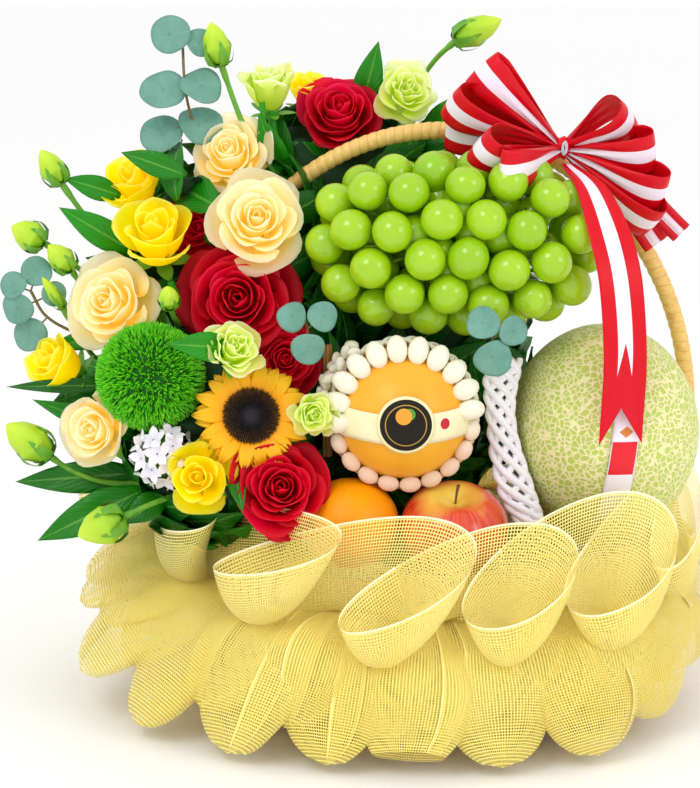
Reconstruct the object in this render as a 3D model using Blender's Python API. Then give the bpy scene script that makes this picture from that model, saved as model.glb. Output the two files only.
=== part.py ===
"""Fruit gift basket with flowers, a ribbon bow and a ruffle of open mesh round an oval cane basket.

Metres, +Z up. The origin is the centre of the basket's flat base, on the surface it stands on.
+X is the side of the melon, and -Y is the front, where the fruit and the flowers face.
"""

import math
import random

import bmesh
import bpy
import numpy as np
from mathutils import Matrix, Vector

# ---------------------------------------------------------------- driving dimensions
GAP = 0.0003              # clearance between pieces that touch
RIM = (0.168, 0.150)      # basket's outer half widths at the rim
FOOT = (0.136, 0.118)     # and at the flat base
RIM_Z = 0.120             # height of the rim
WALL = 0.007              # thickness of the woven wall
BED_Z = 0.114             # level of the straw that the fruit lies in

ARCH_HALF = 0.185         # handle: half span at its widest
ARCH_RISE = 0.210         # rise of the arch above its widest level
ARCH_Z = 0.210            # that level
CANE_R = 0.0062           # radius of the wrapped handle

BELT_Z = 0.096            # level where the mesh is gathered round the wall
# Outermost points of the lower ruffle's lobes, round from the back right by the front to the back left.
SKIRT_TIPS = (
    (0.191, 0.030, 0.078), (0.192, -0.022, 0.070), (0.184, -0.075, 0.036), (0.152, -0.134, 0.018),
    (0.103, -0.182, 0.009), (0.036, -0.206, 0.007), (-0.028, -0.213, 0.004), (-0.084, -0.202, 0.005),
    (-0.152, -0.180, 0.005), (-0.219, -0.134, 0.012), (-0.262, -0.086, 0.036), (-0.271, -0.034, 0.072),
    (-0.268, 0.022, 0.078), (-0.250, 0.078, 0.044), (-0.206, 0.134, 0.016), (-0.140, 0.180, 0.006),
    (-0.070, 0.202, 0.005), (0.000, 0.206, 0.004), (0.068, 0.192, 0.006), (0.130, 0.152, 0.014),
    (0.170, 0.096, 0.040))
# Crests of the upper ruffle: direction round the basket in degrees, and height of the crest.
COLLAR_CRESTS = (
    (-16, 0.184), (-42, 0.178), (-66, 0.178), (-84, 0.172), (-103, 0.170), (-125, 0.168), (-148, 0.166),
    (-175, 0.158), (-204, 0.160), (-233, 0.166), (-260, 0.168), (-287, 0.170), (-315, 0.170), (-345, 0.172))

RIBBON = 0.034            # ribbon width of the bow
KNOT = Vector((0.086, -0.020, 0.409))
# Bow loops: end of the loop from the knot (right, forward, up), and how far it opens.
BOW_LOOPS = (
    (-0.060, 0.012, 0.059, 0.011), (-0.082, 0.018, 0.036, 0.011), (-0.083, -0.002, 0.014, 0.009),
    (-0.063, 0.052, 0.004, 0.008), (-0.046, 0.070, -0.010, 0.008), (0.046, 0.012, 0.027, 0.012),
    (0.064, 0.017, 0.000, 0.010), (0.072, 0.020, -0.029, 0.010), (0.068, 0.012, -0.052, 0.010))

PEAR = Vector((-0.030, -0.085, 0.228))
PEAR_R = 0.0495
MELON = Vector((0.118, -0.036, 0.203))
MELON_R = 0.0700
MELON_TALL = 0.0790       # half height of the melon
ORANGE = Vector((-0.067, -0.102, 0.150))
ORANGE_R = 0.0345
APPLE = Vector((0.006, -0.108, 0.148))
APPLE_R = 0.0380
BERRY_R = 0.0143
BUNCH = Vector((0.008, -0.052, 0.345))
BUNCH_HALF = (0.094, 0.042, 0.052)    # half sizes of the surface that the berries' centres lie on
BERRIES = 62

# Flower heads: place of the head, the way it faces, radius, and how far it is open (1 is flat open).
ROSES = {
    "red_rose_top": ((-0.075, 0.030, 0.430), (0.00, -0.72, 0.70), 0.033, 0.8),
    "red_rose_back": ((-0.176, -0.018, 0.352), (-0.20, -0.93, 0.15), 0.031, 0.9),
    "red_rose_centre": ((-0.147, -0.072, 0.308), (-0.05, -0.96, 0.26), 0.040, 1.0),
    "red_rose_middle": ((-0.1140, -0.072, 0.264), (0.10, -0.95, 0.20), 0.028, 0.9),
    "red_rose_low": ((-0.116, -0.122, 0.182), (0.05, -0.92, 0.35), 0.035, 1.0),
    "peach_rose_top": ((-0.156, -0.006, 0.404), (-0.12, -0.72, 0.62), 0.030, 0.7),
    "peach_rose_middle": ((-0.133, -0.055, 0.362), (0.05, -0.84, 0.52), 0.034, 0.9),
    "peach_rose_left": ((-0.240, -0.055, 0.301), (-0.38, -0.84, 0.38), 0.033, 0.9),
    "peach_rose_low": ((-0.249, -0.085, 0.215), (-0.45, -0.86, 0.22), 0.027, 0.7),
    "yellow_rose_back": ((-0.226, 0.004, 0.382), (-0.30, -0.50, 0.80), 0.026, 0.5),
    "yellow_rose_middle": ((-0.207, -0.045, 0.350), (-0.06, -0.62, 0.78), 0.032, 0.6),
    "yellow_rose_left": ((-0.280, -0.048, 0.258), (-0.75, -0.35, 0.56), 0.023, 0.3),
    "yellow_rose_low": ((-0.174, -0.122, 0.190), (-0.05, -0.94, 0.33), 0.0265, 0.8),
    "yellow_rose_top": ((-0.098, 0.056, 0.446), (0.10, -0.30, 0.95), 0.021, 0.5),
}
LARGE_ROSE = 0.034        # heads over this radius have more petals
LISIANTHUS = {
    "lisianthus_top": ((-0.126, 0.018, 0.452), (0.00, -0.38, 0.92), 0.021, 0.5),
    "lisianthus_right": ((-0.025, 0.030, 0.447), (0.22, -0.86, 0.45), 0.0245, 0.9),
    "lisianthus_middle": ((-0.148, -0.120, 0.281), (0.10, -0.95, 0.25), 0.0195, 0.7),
    "lisianthus_low": ((-0.093, -0.120, 0.234), (0.20, -0.97, 0.12), 0.0180, 0.7),
}
SUNFLOWER = ((-0.137, -0.104, 0.229), (0.06, -0.94, 0.32), 0.0420)
POMPON = ((-0.209, -0.082, 0.253), 0.0405)
FLORETS = ((-0.199, -0.098, 0.199), 0.0250)

# Buds: base of the bud, its tip, radius, and the points of the stem behind it, down into the foliage.
BUDS = {
    "bud_top": ((-0.161, 0.000, 0.467), (-0.168, -0.003, 0.498), 0.0105,
                ((-0.152, 0.004, 0.440), (-0.140, 0.006, 0.405), (-0.138, 0.010, 0.370))),
    "bud_right": ((0.010, 0.034, 0.483), (0.044, 0.028, 0.499), 0.0110,
                  ((-0.004, 0.048, 0.468), (-0.022, 0.068, 0.440), (-0.050, 0.066, 0.400),
                   (-0.080, 0.050, 0.360))),
    "bud_far_left": ((-0.278, -0.010, 0.382), (-0.292, -0.013, 0.407), 0.0095,
                     ((-0.262, -0.008, 0.358), (-0.243, -0.005, 0.330), (-0.205, 0.005, 0.300))),
    "bud_left_pair": ((-0.291, -0.018, 0.340), (-0.313, -0.026, 0.353), 0.0115,
                      ((-0.276, -0.014, 0.328), (-0.255, -0.010, 0.312), (-0.205, 0.000, 0.290))),
    "bud_left_second": ((-0.270, -0.030, 0.322), (-0.285, -0.038, 0.341), 0.0095,
                        ((-0.262, -0.024, 0.308), (-0.245, -0.014, 0.290), (-0.210, -0.004, 0.275))),
    "bud_low_left": ((-0.285, -0.068, 0.192), (-0.313, -0.080, 0.218), 0.0135,
                     ((-0.268, -0.066, 0.180), (-0.243, -0.068, 0.172), (-0.205, -0.066, 0.172),
                      (-0.165, -0.050, 0.175))),
    "bud_bottom": ((-0.226, -0.118, 0.160), (-0.258, -0.126, 0.148), 0.0140,
                   ((-0.210, -0.110, 0.166), (-0.185, -0.088, 0.170), (-0.150, -0.060, 0.172))),
    "bud_slim": ((-0.276, -0.034, 0.294), (-0.290, -0.040, 0.318), 0.0048,
                 ((-0.266, -0.028, 0.274), (-0.250, -0.018, 0.250), (-0.205, -0.006, 0.235))),
    "bud_inner": ((-0.194, -0.086, 0.304), (-0.195, -0.096, 0.320), 0.0075,
                  ((-0.192, -0.074, 0.294), (-0.188, -0.050, 0.284), (-0.175, -0.025, 0.275))),
}

# Eucalyptus: the sprig's stem, then its round leaves as (centre, way it faces, radius).
EUCALYPTUS = {
    "eucalyptus_top": (
        ((-0.160, 0.010, 0.385), (-0.178, 0.004, 0.415), (-0.187, 0.000, 0.447), (-0.189, 0.000, 0.490)),
        (((-0.198, -0.003, 0.489), (-0.2, -0.93, 0.3), 0.0150),
         ((-0.176, -0.003, 0.483), (0.3, -0.9, 0.3), 0.0110),
         ((-0.203, -0.004, 0.450), (-0.1, -0.75, 0.65), 0.0175),
         ((-0.175, -0.004, 0.453), (0.2, -0.8, 0.6), 0.0155),
         ((-0.204, 0.000, 0.417), (-0.2, -0.8, 0.6), 0.0165),
         ((-0.178, 0.000, 0.424), (0.2, -0.8, 0.6), 0.0165))),
    "eucalyptus_left": (
        ((-0.215, -0.010, 0.255), (-0.262, -0.026, 0.272), (-0.288, -0.032, 0.287), (-0.299, -0.036, 0.307)),
        (((-0.294, -0.036, 0.321), (0.1, -0.95, 0.2), 0.0115),
         ((-0.311, -0.036, 0.311), (-0.3, -0.9, 0.3), 0.0105),
         ((-0.309, -0.037, 0.294), (-0.3, -0.9, -0.1), 0.0125),
         ((-0.283, -0.036, 0.305), (0.4, -0.9, 0.1), 0.0095),
         ((-0.301, -0.034, 0.274), (-0.2, -0.95, 0.2), 0.0130))),
    "eucalyptus_middle": (
        ((-0.108, -0.030, 0.305), (-0.102, -0.075, 0.302), (-0.097, -0.112, 0.293)),
        (((-0.108, -0.110, 0.301), (-0.4, -0.90, 0.3), 0.0112),
         ((-0.086, -0.113, 0.302), (0.4, -0.90, 0.2), 0.0112),
         ((-0.096, -0.119, 0.281), (0.1, -0.98, -0.2), 0.0120))),
    "eucalyptus_right": (
        ((0.030, -0.040, 0.272), (0.031, -0.085, 0.284), (0.031, -0.113, 0.287)),
        (((0.024, -0.114, 0.297), (-0.2, -0.93, 0.3), 0.0120),
         ((0.046, -0.112, 0.291), (0.4, -0.9, 0.1), 0.0110),
         ((0.031, -0.115, 0.273), (0.0, -0.98, -0.1), 0.0135))),
}

# Lance-shaped leaves of the foliage: base, tip, width.
LEAVES = (
    ((-0.185, -0.030, 0.390), (-0.232, -0.030, 0.407), 0.018),
    ((-0.236, 0.000, 0.372), (-0.276, -0.010, 0.386), 0.018),
    ((-0.226, -0.012, 0.332), (-0.279, -0.020, 0.366), 0.022),
    ((-0.210, -0.004, 0.314), (-0.262, -0.012, 0.328), 0.020),
    ((-0.118, 0.020, 0.380), (-0.134, 0.000, 0.432), 0.022),
    ((-0.060, 0.055, 0.425), (-0.046, 0.050, 0.482), 0.022),
    ((-0.015, 0.045, 0.410), (0.034, 0.034, 0.446), 0.024),
    ((-0.030, 0.050, 0.390), (0.022, 0.030, 0.408), 0.022),
    ((-0.235, -0.050, 0.240), (-0.316, -0.055, 0.240), 0.011),
    ((-0.232, -0.040, 0.245), (-0.285, -0.046, 0.226), 0.022),
    ((-0.222, -0.046, 0.200), (-0.298, -0.052, 0.230), 0.018),
    ((-0.220, -0.056, 0.176), (-0.310, -0.066, 0.172), 0.024),
    ((-0.215, -0.072, 0.168), (-0.292, -0.088, 0.134), 0.028),
    ((-0.200, -0.090, 0.168), (-0.228, -0.108, 0.152), 0.020),
    ((-0.225, -0.030, 0.278), (-0.292, -0.026, 0.262), 0.016),
    ((-0.170, -0.078, 0.262), (-0.184, -0.128, 0.278), 0.020),
    ((-0.150, -0.100, 0.196), (-0.142, -0.136, 0.168), 0.014),
    ((-0.100, 0.050, 0.340), (-0.098, 0.105, 0.380), 0.026),
    ((-0.200, 0.030, 0.300), (-0.246, 0.068, 0.320), 0.026),
    ((-0.050, 0.050, 0.320), (-0.030, 0.094, 0.362), 0.026),
    ((-0.160, 0.050, 0.260), (-0.195, 0.104, 0.262), 0.028),
    ((-0.090, 0.045, 0.240), (-0.092, 0.116, 0.262), 0.028),
    ((-0.220, 0.020, 0.230), (-0.276, 0.044, 0.238), 0.026),
    ((-0.040, 0.050, 0.230), (-0.008, 0.104, 0.258), 0.026),
)
FOLIAGE_CORES = (  # clumps of stems and leaves behind the flower heads: centre, half sizes
    ((-0.150, -0.006, 0.225), (0.090, 0.078, 0.118)),
    ((-0.158, -0.008, 0.330), (0.070, 0.044, 0.082)),
    ((-0.078, 0.044, 0.372), (0.062, 0.026, 0.076)),
    ((-0.026, 0.036, 0.255), (0.090, 0.034, 0.140)),
    ((-0.160, -0.062, 0.190), (0.066, 0.052, 0.062)),
)


# ---------------------------------------------------------------- shared helpers
def clear_scene():
    for obj in list(bpy.data.objects):
        bpy.data.objects.remove(obj, do_unlink=True)


def material(name, rgb, roughness=0.6, metallic=0.0):
    made = bpy.data.materials.new(name)
    made.use_nodes = True
    shader = made.node_tree.nodes["Principled BSDF"]
    shader.inputs["Base Color"].default_value = (*rgb, 1.0)
    shader.inputs["Roughness"].default_value = roughness
    shader.inputs["Metallic"].default_value = metallic
    made.diffuse_color = (*rgb, 1.0)
    return made


def add_mesh(name, points, faces, finish):
    """A closed mesh object of triangles that all face outwards, shaded smooth but for its sharp edges."""
    mesh = bpy.data.meshes.new(name)
    mesh.from_pydata([tuple(p) for p in points], [], [tuple(f) for f in faces])
    work = bmesh.new()
    work.from_mesh(mesh)
    bmesh.ops.triangulate(work, faces=work.faces, quad_method="FIXED")
    bmesh.ops.recalc_face_normals(work, faces=work.faces)
    work.to_mesh(mesh)
    work.free()
    mesh.materials.append(finish)
    mesh.shade_smooth()
    mesh.set_sharp_from_angle(angle=math.radians(60))
    obj = bpy.data.objects.new(name, mesh)
    bpy.context.scene.collection.objects.link(obj)
    return obj


def loft(rings, start=None, end=None, ring_closed=True, loop_closed=False):
    """Points and faces of a skin over rings of equal length. start and end are the points that close it."""
    rings = np.asarray(rings, float)
    count, around = rings.shape[:2]
    points = [tuple(p) for p in rings.reshape(-1, 3)]
    faces = []
    steps = count if loop_closed else count - 1
    for i in range(steps):
        j = (i + 1) % count
        for k in range(around if ring_closed else around - 1):
            m = (k + 1) % around
            faces.append((i * around + k, i * around + m, j * around + m, j * around + k))
    for tip, row in ((start, 0), (end, count - 1)):
        if tip is None:
            continue
        points.append(tuple(tip))
        for k in range(around):
            m = (k + 1) % around
            faces.append((row * around + k, row * around + m, len(points) - 1))
    return points, faces


def placed(points, matrix):
    return [matrix @ Vector(p) for p in points]


def facing(at, face, spin=0.0):
    """A frame at a point with its +Z along face, turned by spin about it."""
    turn = Vector(face).normalized().to_track_quat("Z", "Y").to_matrix().to_4x4()
    return Matrix.Translation(Vector(at)) @ turn @ Matrix.Rotation(spin, 4, "Z")


def smooth_path(points, steps):
    """A Catmull-Rom curve through the points, as steps points for each span."""
    p = [Vector(q) for q in points]
    p = [2 * p[0] - p[1], *p, 2 * p[-1] - p[-2]]
    made = []
    for i in range(1, len(p) - 2):
        for k in range(steps):
            t = k / steps
            a, b, c, d = p[i - 1], p[i], p[i + 1], p[i + 2]
            made.append(0.5 * (2 * b + (c - a) * t + (2 * a - 5 * b + 4 * c - d) * t * t
                               + (3 * b - a - 3 * c + d) * t ** 3))
    made.append(p[-2])
    return made


def tube(path, radii, sides):
    """Points and faces of a round tube along a path, with pointed closed ends."""
    rings = []
    side = Vector((0, 0, 1)).cross(path[1] - path[0])
    if side.length < 1e-6:
        side = Vector((1, 0, 0))
    side.normalize()
    for i, p in enumerate(path):
        along = (path[min(i + 1, len(path) - 1)] - path[max(i - 1, 0)]).normalized()
        side = (side - along * side.dot(along)).normalized()
        up = along.cross(side)
        rings.append([p + radii[i] * (math.cos(a) * side + math.sin(a) * up)
                      for a in (2 * math.pi * k / sides for k in range(sides))])
    return loft(rings, path[0], path[-1])


def applied(obj):
    """Bakes an object's modifiers into its mesh."""
    graph = bpy.context.evaluated_depsgraph_get()
    mesh = bpy.data.meshes.new_from_object(obj.evaluated_get(graph))
    obj.modifiers.clear()
    obj.data = mesh
    return obj


def keep_largest(obj):
    """Drops the scraps that a cut leaves loose, and keeps the largest body."""
    work = bmesh.new()
    work.from_mesh(obj.data)
    left, islands = set(work.verts), []
    while left:
        seed = left.pop()
        island, queue = {seed}, [seed]
        while queue:
            for edge in queue.pop().link_edges:
                for vert in edge.verts:
                    if vert in left:
                        left.discard(vert)
                        island.add(vert)
                        queue.append(vert)
        islands.append(island)
    islands.sort(key=len, reverse=True)
    bmesh.ops.delete(work, geom=[v for island in islands[1:] for v in island], context="VERTS")
    work.to_mesh(obj.data)
    work.free()


def fuse(parts):
    """Joins overlapping closed meshes into the first of them, with one Boolean union on a collection."""
    base, others = parts[0], parts[1:]
    group = bpy.data.collections.new("to_fuse")
    bpy.context.scene.collection.children.link(group)
    for obj in others:
        bpy.context.scene.collection.objects.unlink(obj)
        group.objects.link(obj)
    join = base.modifiers.new("fuse", "BOOLEAN")
    join.operation = "UNION"
    join.solver = "EXACT"
    join.operand_type = "COLLECTION"
    join.collection = group
    bpy.context.view_layer.update()
    applied(base)
    for obj in others:
        bpy.data.objects.remove(obj, do_unlink=True)
    bpy.data.collections.remove(group)
    keep_largest(base)
    return base


def corners(obj):
    co = np.array([obj.matrix_world @ v.co for v in obj.data.vertices])
    return co.min(0), co.max(0)


def clear_of(low, high, gap=1.6 * GAP):
    """Cuts low back where high, grown by the gap, reaches into it."""
    (a, b), (c, d) = corners(low), corners(high)
    if (a > d + gap).any() or (c > b + gap).any():
        return
    grown = high.copy()
    grown.data = high.data.copy()
    for vert in grown.data.vertices:
        vert.co = vert.co + vert.normal * gap
    bpy.context.scene.collection.objects.link(grown)
    cut = low.modifiers.new("clear", "BOOLEAN")
    cut.operation = "DIFFERENCE"
    cut.solver = "EXACT"
    cut.object = grown
    bpy.context.view_layer.update()
    applied(low)
    bpy.data.objects.remove(grown, do_unlink=True)
    keep_largest(low)


# ---------------------------------------------------------------- basket, handle and straw
def oval(half, z, sides, grow=0.0):
    return [((half[0] + grow) * math.cos(a), (half[1] + grow) * math.sin(a), z)
            for a in (2 * math.pi * k / sides for k in range(sides))]


def wall_half(z):
    """Outer half widths of the basket's wall at a height."""
    t = z / RIM_Z
    return tuple(f + (r - f) * t for f, r in zip(FOOT, RIM))


def basket(finish):
    """The oval tub: a flat base, a flaring wall and a thicker braided rim."""
    sides = 28
    rim_low = RIM_Z - 0.012
    rings = [
        oval(FOOT, 0.0, sides), oval(wall_half(rim_low), rim_low, sides),
        oval(RIM, rim_low + 0.002, sides, 0.004), oval(RIM, RIM_Z, sides, 0.003),
        oval(RIM, RIM_Z, sides, -WALL), oval(FOOT, WALL, sides, -WALL),
    ]
    points, faces = loft(rings)
    faces.append(tuple(range(sides)))
    faces.append(tuple(range(5 * sides, 6 * sides)))
    return add_mesh("basket", points, faces, finish)


def arch_point(turn):
    """A point of the handle's centre line, turn from 0 at the right foot to 1 at the left foot."""
    leg = ARCH_Z - RIM_Z - 2 * GAP
    bow = math.pi * (ARCH_HALF + ARCH_RISE) / 2
    along = turn * (2 * leg + bow)
    low = min(along, 2 * leg + bow - along)
    if low < leg:
        lean = (ARCH_HALF - RIM[0] + 0.002) * (1 - low / leg) ** 2
        return Vector((math.copysign(ARCH_HALF - lean, 0.5 - turn), 0, RIM_Z + 2 * GAP + low))
    a = math.pi * (along - leg) / bow
    return Vector((ARCH_HALF * math.cos(a), 0, ARCH_Z + ARCH_RISE * math.sin(a)))


def handle(finish):
    """The arch: a core of canes wrapped with a flat strip, so its skin is a row of slanting ridges."""
    stations, sides, wraps = 27, 6, 6
    path = [arch_point(k / (stations - 1)) for k in range(stations)]
    rings = []
    for k, p in enumerate(path):
        along = (path[min(k + 1, stations - 1)] - path[max(k - 1, 0)]).normalized()
        side = Vector((0, 1, 0))
        up = along.cross(side)
        turn = 2 * math.pi * wraps * k / (stations - 1)
        ring = []
        for j in range(sides):
            a = 2 * math.pi * j / sides
            radius = CANE_R * (1 + 0.10 * math.cos(2 * (a - turn)))
            ring.append(p + radius * (math.cos(a) * side + math.sin(a) * up))
        rings.append(ring)
    points, faces = loft(rings)
    faces += [tuple(range(sides)), tuple(range((stations - 1) * sides, stations * sides))]
    return add_mesh("handle", points, faces, finish)


def straw_bed(finish):
    """Shredded straw that fills the basket, with a low uneven dome."""
    sides = 28
    inside = [half - WALL - 0.0020 for half in FOOT]
    top = [half - WALL - 0.0020 for half in wall_half(BED_Z - 0.010)]
    rings = [oval(inside, WALL + 2 * GAP, sides), oval(top, BED_Z - 0.010, sides)]
    for share, rise in ((0.75, 0.0), (0.35, 0.004)):
        rings.append([(share * x, share * y, BED_Z + rise + 0.003 * math.sin(3 * k + 9 * share))
                      for k, (x, y, _) in enumerate(oval(top, 0, sides))])
    points, faces = loft(rings, (0, 0, WALL + 2 * GAP), (0, 0, BED_Z + 0.004))
    return add_mesh("straw_bed", points, faces, finish)


# ---------------------------------------------------------------- fruit
def turned(name, at, profile, sides, finish, face=(0, 0, 1), wobble=0.0, lobes=0):
    """A fruit turned from (radius, height) pairs, top to bottom, the first and last on the axis."""
    rings = []
    for radius, height in profile[1:-1]:
        rings.append([(radius * (1 + wobble * math.cos(lobes * a)) * math.cos(a),
                       radius * (1 + wobble * math.cos(lobes * a)) * math.sin(a), height)
                      for a in (2 * math.pi * k / sides for k in range(sides))])
    points, faces = loft(rings, (0, 0, profile[0][1]), (0, 0, profile[-1][1]))
    return add_mesh(name, placed(points, facing(at, face)), faces, finish)


def ball_profile(radius, half_height, rings, top_dimple=0.0, bottom_dimple=0.0, dimple_width=0.3):
    """(radius, height) pairs of an oval ball, dimpled at its poles."""
    pairs = []
    for k in range(rings + 1):
        a = math.pi * k / rings
        r, h = radius * math.sin(a), half_height * math.cos(a)
        near = math.exp(-((r / (dimple_width * radius)) ** 2))
        h -= near * (top_dimple if h > 0 else -bottom_dimple)
        pairs.append((r, h))
    return pairs


def apple(finish):
    """A round apple, broader above, with a deep stem hollow and its stem."""
    pairs = ball_profile(APPLE_R, APPLE_R * 0.88, 9, 0.012, 0.007, 0.36)
    pairs = [(r * (1 + 0.06 * h / APPLE_R), h) for r, h in pairs]
    face = (0.0, -0.30, 0.95)
    body = turned("apple", APPLE, pairs, 12, finish, face, 0.012, 5)
    frame = facing(APPLE, face)
    stem = [frame @ Vector(p) for p in ((0, 0, 0.012), (0.001, 0, 0.024), (0.002, 0.001, 0.036))]
    points, faces = tube(stem, (0.0012, 0.0012, 0.0017), 5)
    return fuse([body, add_mesh("apple_stem", points, faces, finish)])


def pear(finish):
    """The round pear, with a low dimple at each end."""
    pairs = ball_profile(PEAR_R, PEAR_R * 0.97, 10, 0.004, 0.003, 0.30)
    return turned("pear", PEAR, pairs, 16, finish)


def melon(finish):
    """The netted melon, a little taller than it is wide."""
    pairs = ball_profile(MELON_R, MELON_TALL, 10, 0.001, 0.001, 0.30)
    return turned("melon", MELON, pairs, 18, finish)


def orange(finish):
    """The orange, a little flattened."""
    return turned("orange", ORANGE, ball_profile(ORANGE_R, ORANGE_R * 0.97, 8, 0.001, 0.001, 0.3), 14, finish)


def pear_band(finish):
    """The paper band round the pear's middle."""
    sides, half, thick = 16, 0.0105, 0.0008
    rings = []
    for a in (2 * math.pi * k / sides for k in range(sides)):
        section = []
        for z, out in ((-half, 0.0), (0.0, 0.0), (half, 0.0), (half, thick), (0.0, thick), (-half, thick)):
            r = math.sqrt(PEAR_R ** 2 - z ** 2) + 4 * GAP + out
            section.append(PEAR + Vector((r * math.cos(a), r * math.sin(a), z)))
        rings.append(section)
    points, faces = loft(rings, loop_closed=True)
    return add_mesh("pear_band", points, faces, finish)


def pear_sticker(finish):
    """The round sticker on the front of the band."""
    sides, radius, thick = 16, 0.0195, 0.0008
    frame = facing(PEAR, (0.02, -0.99, 0.03))
    lift = PEAR_R + 0.0030
    rings = []
    for share, rise in ((0.5, 0.0), (1.0, 0.0), (1.0, thick), (0.5, thick)):
        z = math.sqrt(lift ** 2 - (share * radius) ** 2) + rise
        rings.append([(share * radius * math.cos(a), share * radius * math.sin(a), z)
                      for a in (2 * math.pi * k / sides for k in range(sides))])
    points, faces = loft(rings, (0, 0, lift), (0, 0, lift + thick))
    return add_mesh("pear_sticker", placed(points, frame), faces, finish)


def pear_net(finish):
    """The foam net behind the pear: a cup open to the front, with a rim of thick foam beads."""
    beads, inner = 12, PEAR_R + 0.0048
    rings = []
    for k in range(2 * beads):
        a = math.pi * k / beads
        fat = 0.0062 if k % 2 == 0 else 0.0034
        section = []
        outline = (  # degrees from the net's axis, and how far the foam stands out there
            (62, 0.0005), (64, fat), (74, fat * 0.9), (90, 0.0040), (104, 0.0038), (105, 0.0), (84, 0.0))
        for polar, thick in outline:
            t = math.radians(polar)
            r = inner + thick
            section.append((r * math.sin(t) * math.cos(a), r * math.sin(t) * math.sin(a), r * math.cos(t)))
        rings.append(section)
    points, faces = loft(rings, loop_closed=True)
    return add_mesh("pear_foam_net", placed(points, facing(PEAR, (0.0, -0.97, 0.10))), faces, finish)


def melon_point(east, north, lift=0.0):
    """A point over the melon: east round from the front, north up from the middle, in radians."""
    r = (MELON_R + lift) * math.cos(north)
    h = (MELON_TALL + lift) * math.sin(north)
    return MELON + Vector((r * math.sin(east), -r * math.cos(east), h))


def melon_label(finish):
    """The paper strip pasted down the melon's front."""
    steps, half, thick = 9, 0.0072, 0.0007
    rings = []
    for k in range(steps):
        t = k / (steps - 1)
        north = math.radians(20 - 62 * t)
        east = math.radians(8 - 7 * t)
        section = []
        for side, lift in ((-1, 0.0), (1, 0.0), (1, thick), (-1, thick)):
            turn = east + side * half / (MELON_R * math.cos(north))
            section.append(melon_point(turn, north, 0.0016 + lift))
        rings.append(section)
    points, faces = loft(rings)
    faces += [(0, 1, 2, 3), tuple(4 * (steps - 1) + k for k in range(4))]
    return add_mesh("melon_label", points, faces, finish)


def foam_sleeve(finish):
    """A net sleeve of foam strands, bunched flat between the pear and the melon."""
    path = smooth_path(((0.043, -0.058, 0.266), (0.040, -0.066, 0.236), (0.043, -0.072, 0.204),
                        (0.052, -0.082, 0.170), (0.062, -0.088, 0.146)), 2)
    rings = []
    for k, p in enumerate(path):
        knot = 1.0 if k % 2 else 0.78
        ring = []
        for j in range(6):
            a = 2 * math.pi * (j + 0.5 * (k % 2)) / 6
            ring.append(p + Vector((0.0115 * knot * math.cos(a), 0.0065 * knot * math.sin(a), 0)))
        rings.append(ring)
    points, faces = loft(rings, path[0] + Vector((0, 0, 0.003)), path[-1] - Vector((0, 0, 0.003)))
    return add_mesh("foam_sleeve", points, faces, finish)


def berry_centres():
    """Centres of the grapes: a golden spiral over the bunch's surface, pushed apart until it is even."""
    rng = np.random.default_rng(7)
    k = np.arange(BERRIES) + 0.5
    x = 1 - 2 * k / BERRIES
    turn = math.pi * (1 + 5 ** 0.5) * k
    r = np.sqrt(1 - x * x)
    unit = np.stack([x, r * np.cos(turn), r * np.sin(turn)], 1) + rng.normal(0, 0.05, (BERRIES, 3))
    half = np.array(BUNCH_HALF)

    def on_surface(p):
        size = (np.abs(p) ** 2.6).sum(1) ** (1 / 2.6)
        return p / size[:, None]

    for _ in range(60):
        unit = on_surface(unit)
        p = unit * half
        away = p[:, None] - p[None]
        far = np.linalg.norm(away, axis=2) + np.eye(BERRIES)
        push = np.clip(2.12 * BERRY_R - far, 0, None) / far
        np.fill_diagonal(push, 0)
        unit = unit + (away * push[..., None]).sum(1) * 0.4 / half
    p = on_surface(unit) * half
    return p + np.array(BUNCH)


def berry(at, radius, finish):
    """A grape with few sides."""
    work = bmesh.new()
    bmesh.ops.create_icosphere(work, subdivisions=1, radius=radius * 1.03)
    turn = Matrix.Rotation(at.x * 90, 3, "Z") @ Matrix.Rotation(at.z * 90, 3, "X")
    points = [at + turn @ v.co for v in work.verts]
    faces = [tuple(v.index for v in f.verts) for f in work.faces]
    work.free()
    return add_mesh("berry", points, faces, finish)


def grapes(finish):
    """The bunch: a core with every outer berry fused on."""
    core = turned("grapes", BUNCH, ball_profile(1.0, 1.0, 6), 10, finish)
    for vert in core.data.vertices:
        local = vert.co - BUNCH
        grow = 0.002 if local.y < 0.5 else 0.010
        vert.co = BUNCH + Vector([c * (h + grow) for c, h in zip(local, BUNCH_HALF)])
    back = BUNCH.y + 0.3 * BUNCH_HALF[1]
    balls = [berry(Vector(p), BERRY_R, finish) for p in berry_centres() if p[1] < back]
    return fuse([core, *balls])


# ---------------------------------------------------------------- flower heads
def waved_ring(radius, share, height, wave, lift, sides, turn=0.0):
    """A ring whose points stand out and rise by turns, as the petals of a whorl do."""
    ring = []
    for k in range(sides):
        a = 2 * math.pi * k / sides + turn
        beat = wave * (-1) ** k
        out = radius * share * (1 + beat)
        ring.append((out * math.cos(a), out * math.sin(a), radius * (height + lift * beat)))
    return ring


def rose(name, finish):
    """A rose head: stepped whorls of petals, from the outer guard petals in to the closed heart."""
    at, face, radius, spread = ROSES[name]
    sides = 10 if radius > LARGE_ROSE else 8
    steps = (  # share of the radius, height share, how far the petals of that whorl stand out
        (0.38, -0.46, 0.00), (0.86 + 0.14 * spread, 0.10 + 0.28 * (1 - spread), 0.07), (0.74, 0.10, 0.03),
        (0.66, 0.50, -0.06), (0.42, 0.36, -0.02), (0.31, 0.62, 0.07))
    rings = [waved_ring(radius, *step, 0.6, sides, 0.12 * row) for row, step in enumerate(steps)]
    points, faces = loft(rings, (0, 0, -0.62 * radius), (0, 0, 0.50 * radius))
    return add_mesh(name, placed(points, facing(at, face)), faces, finish)


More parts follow.
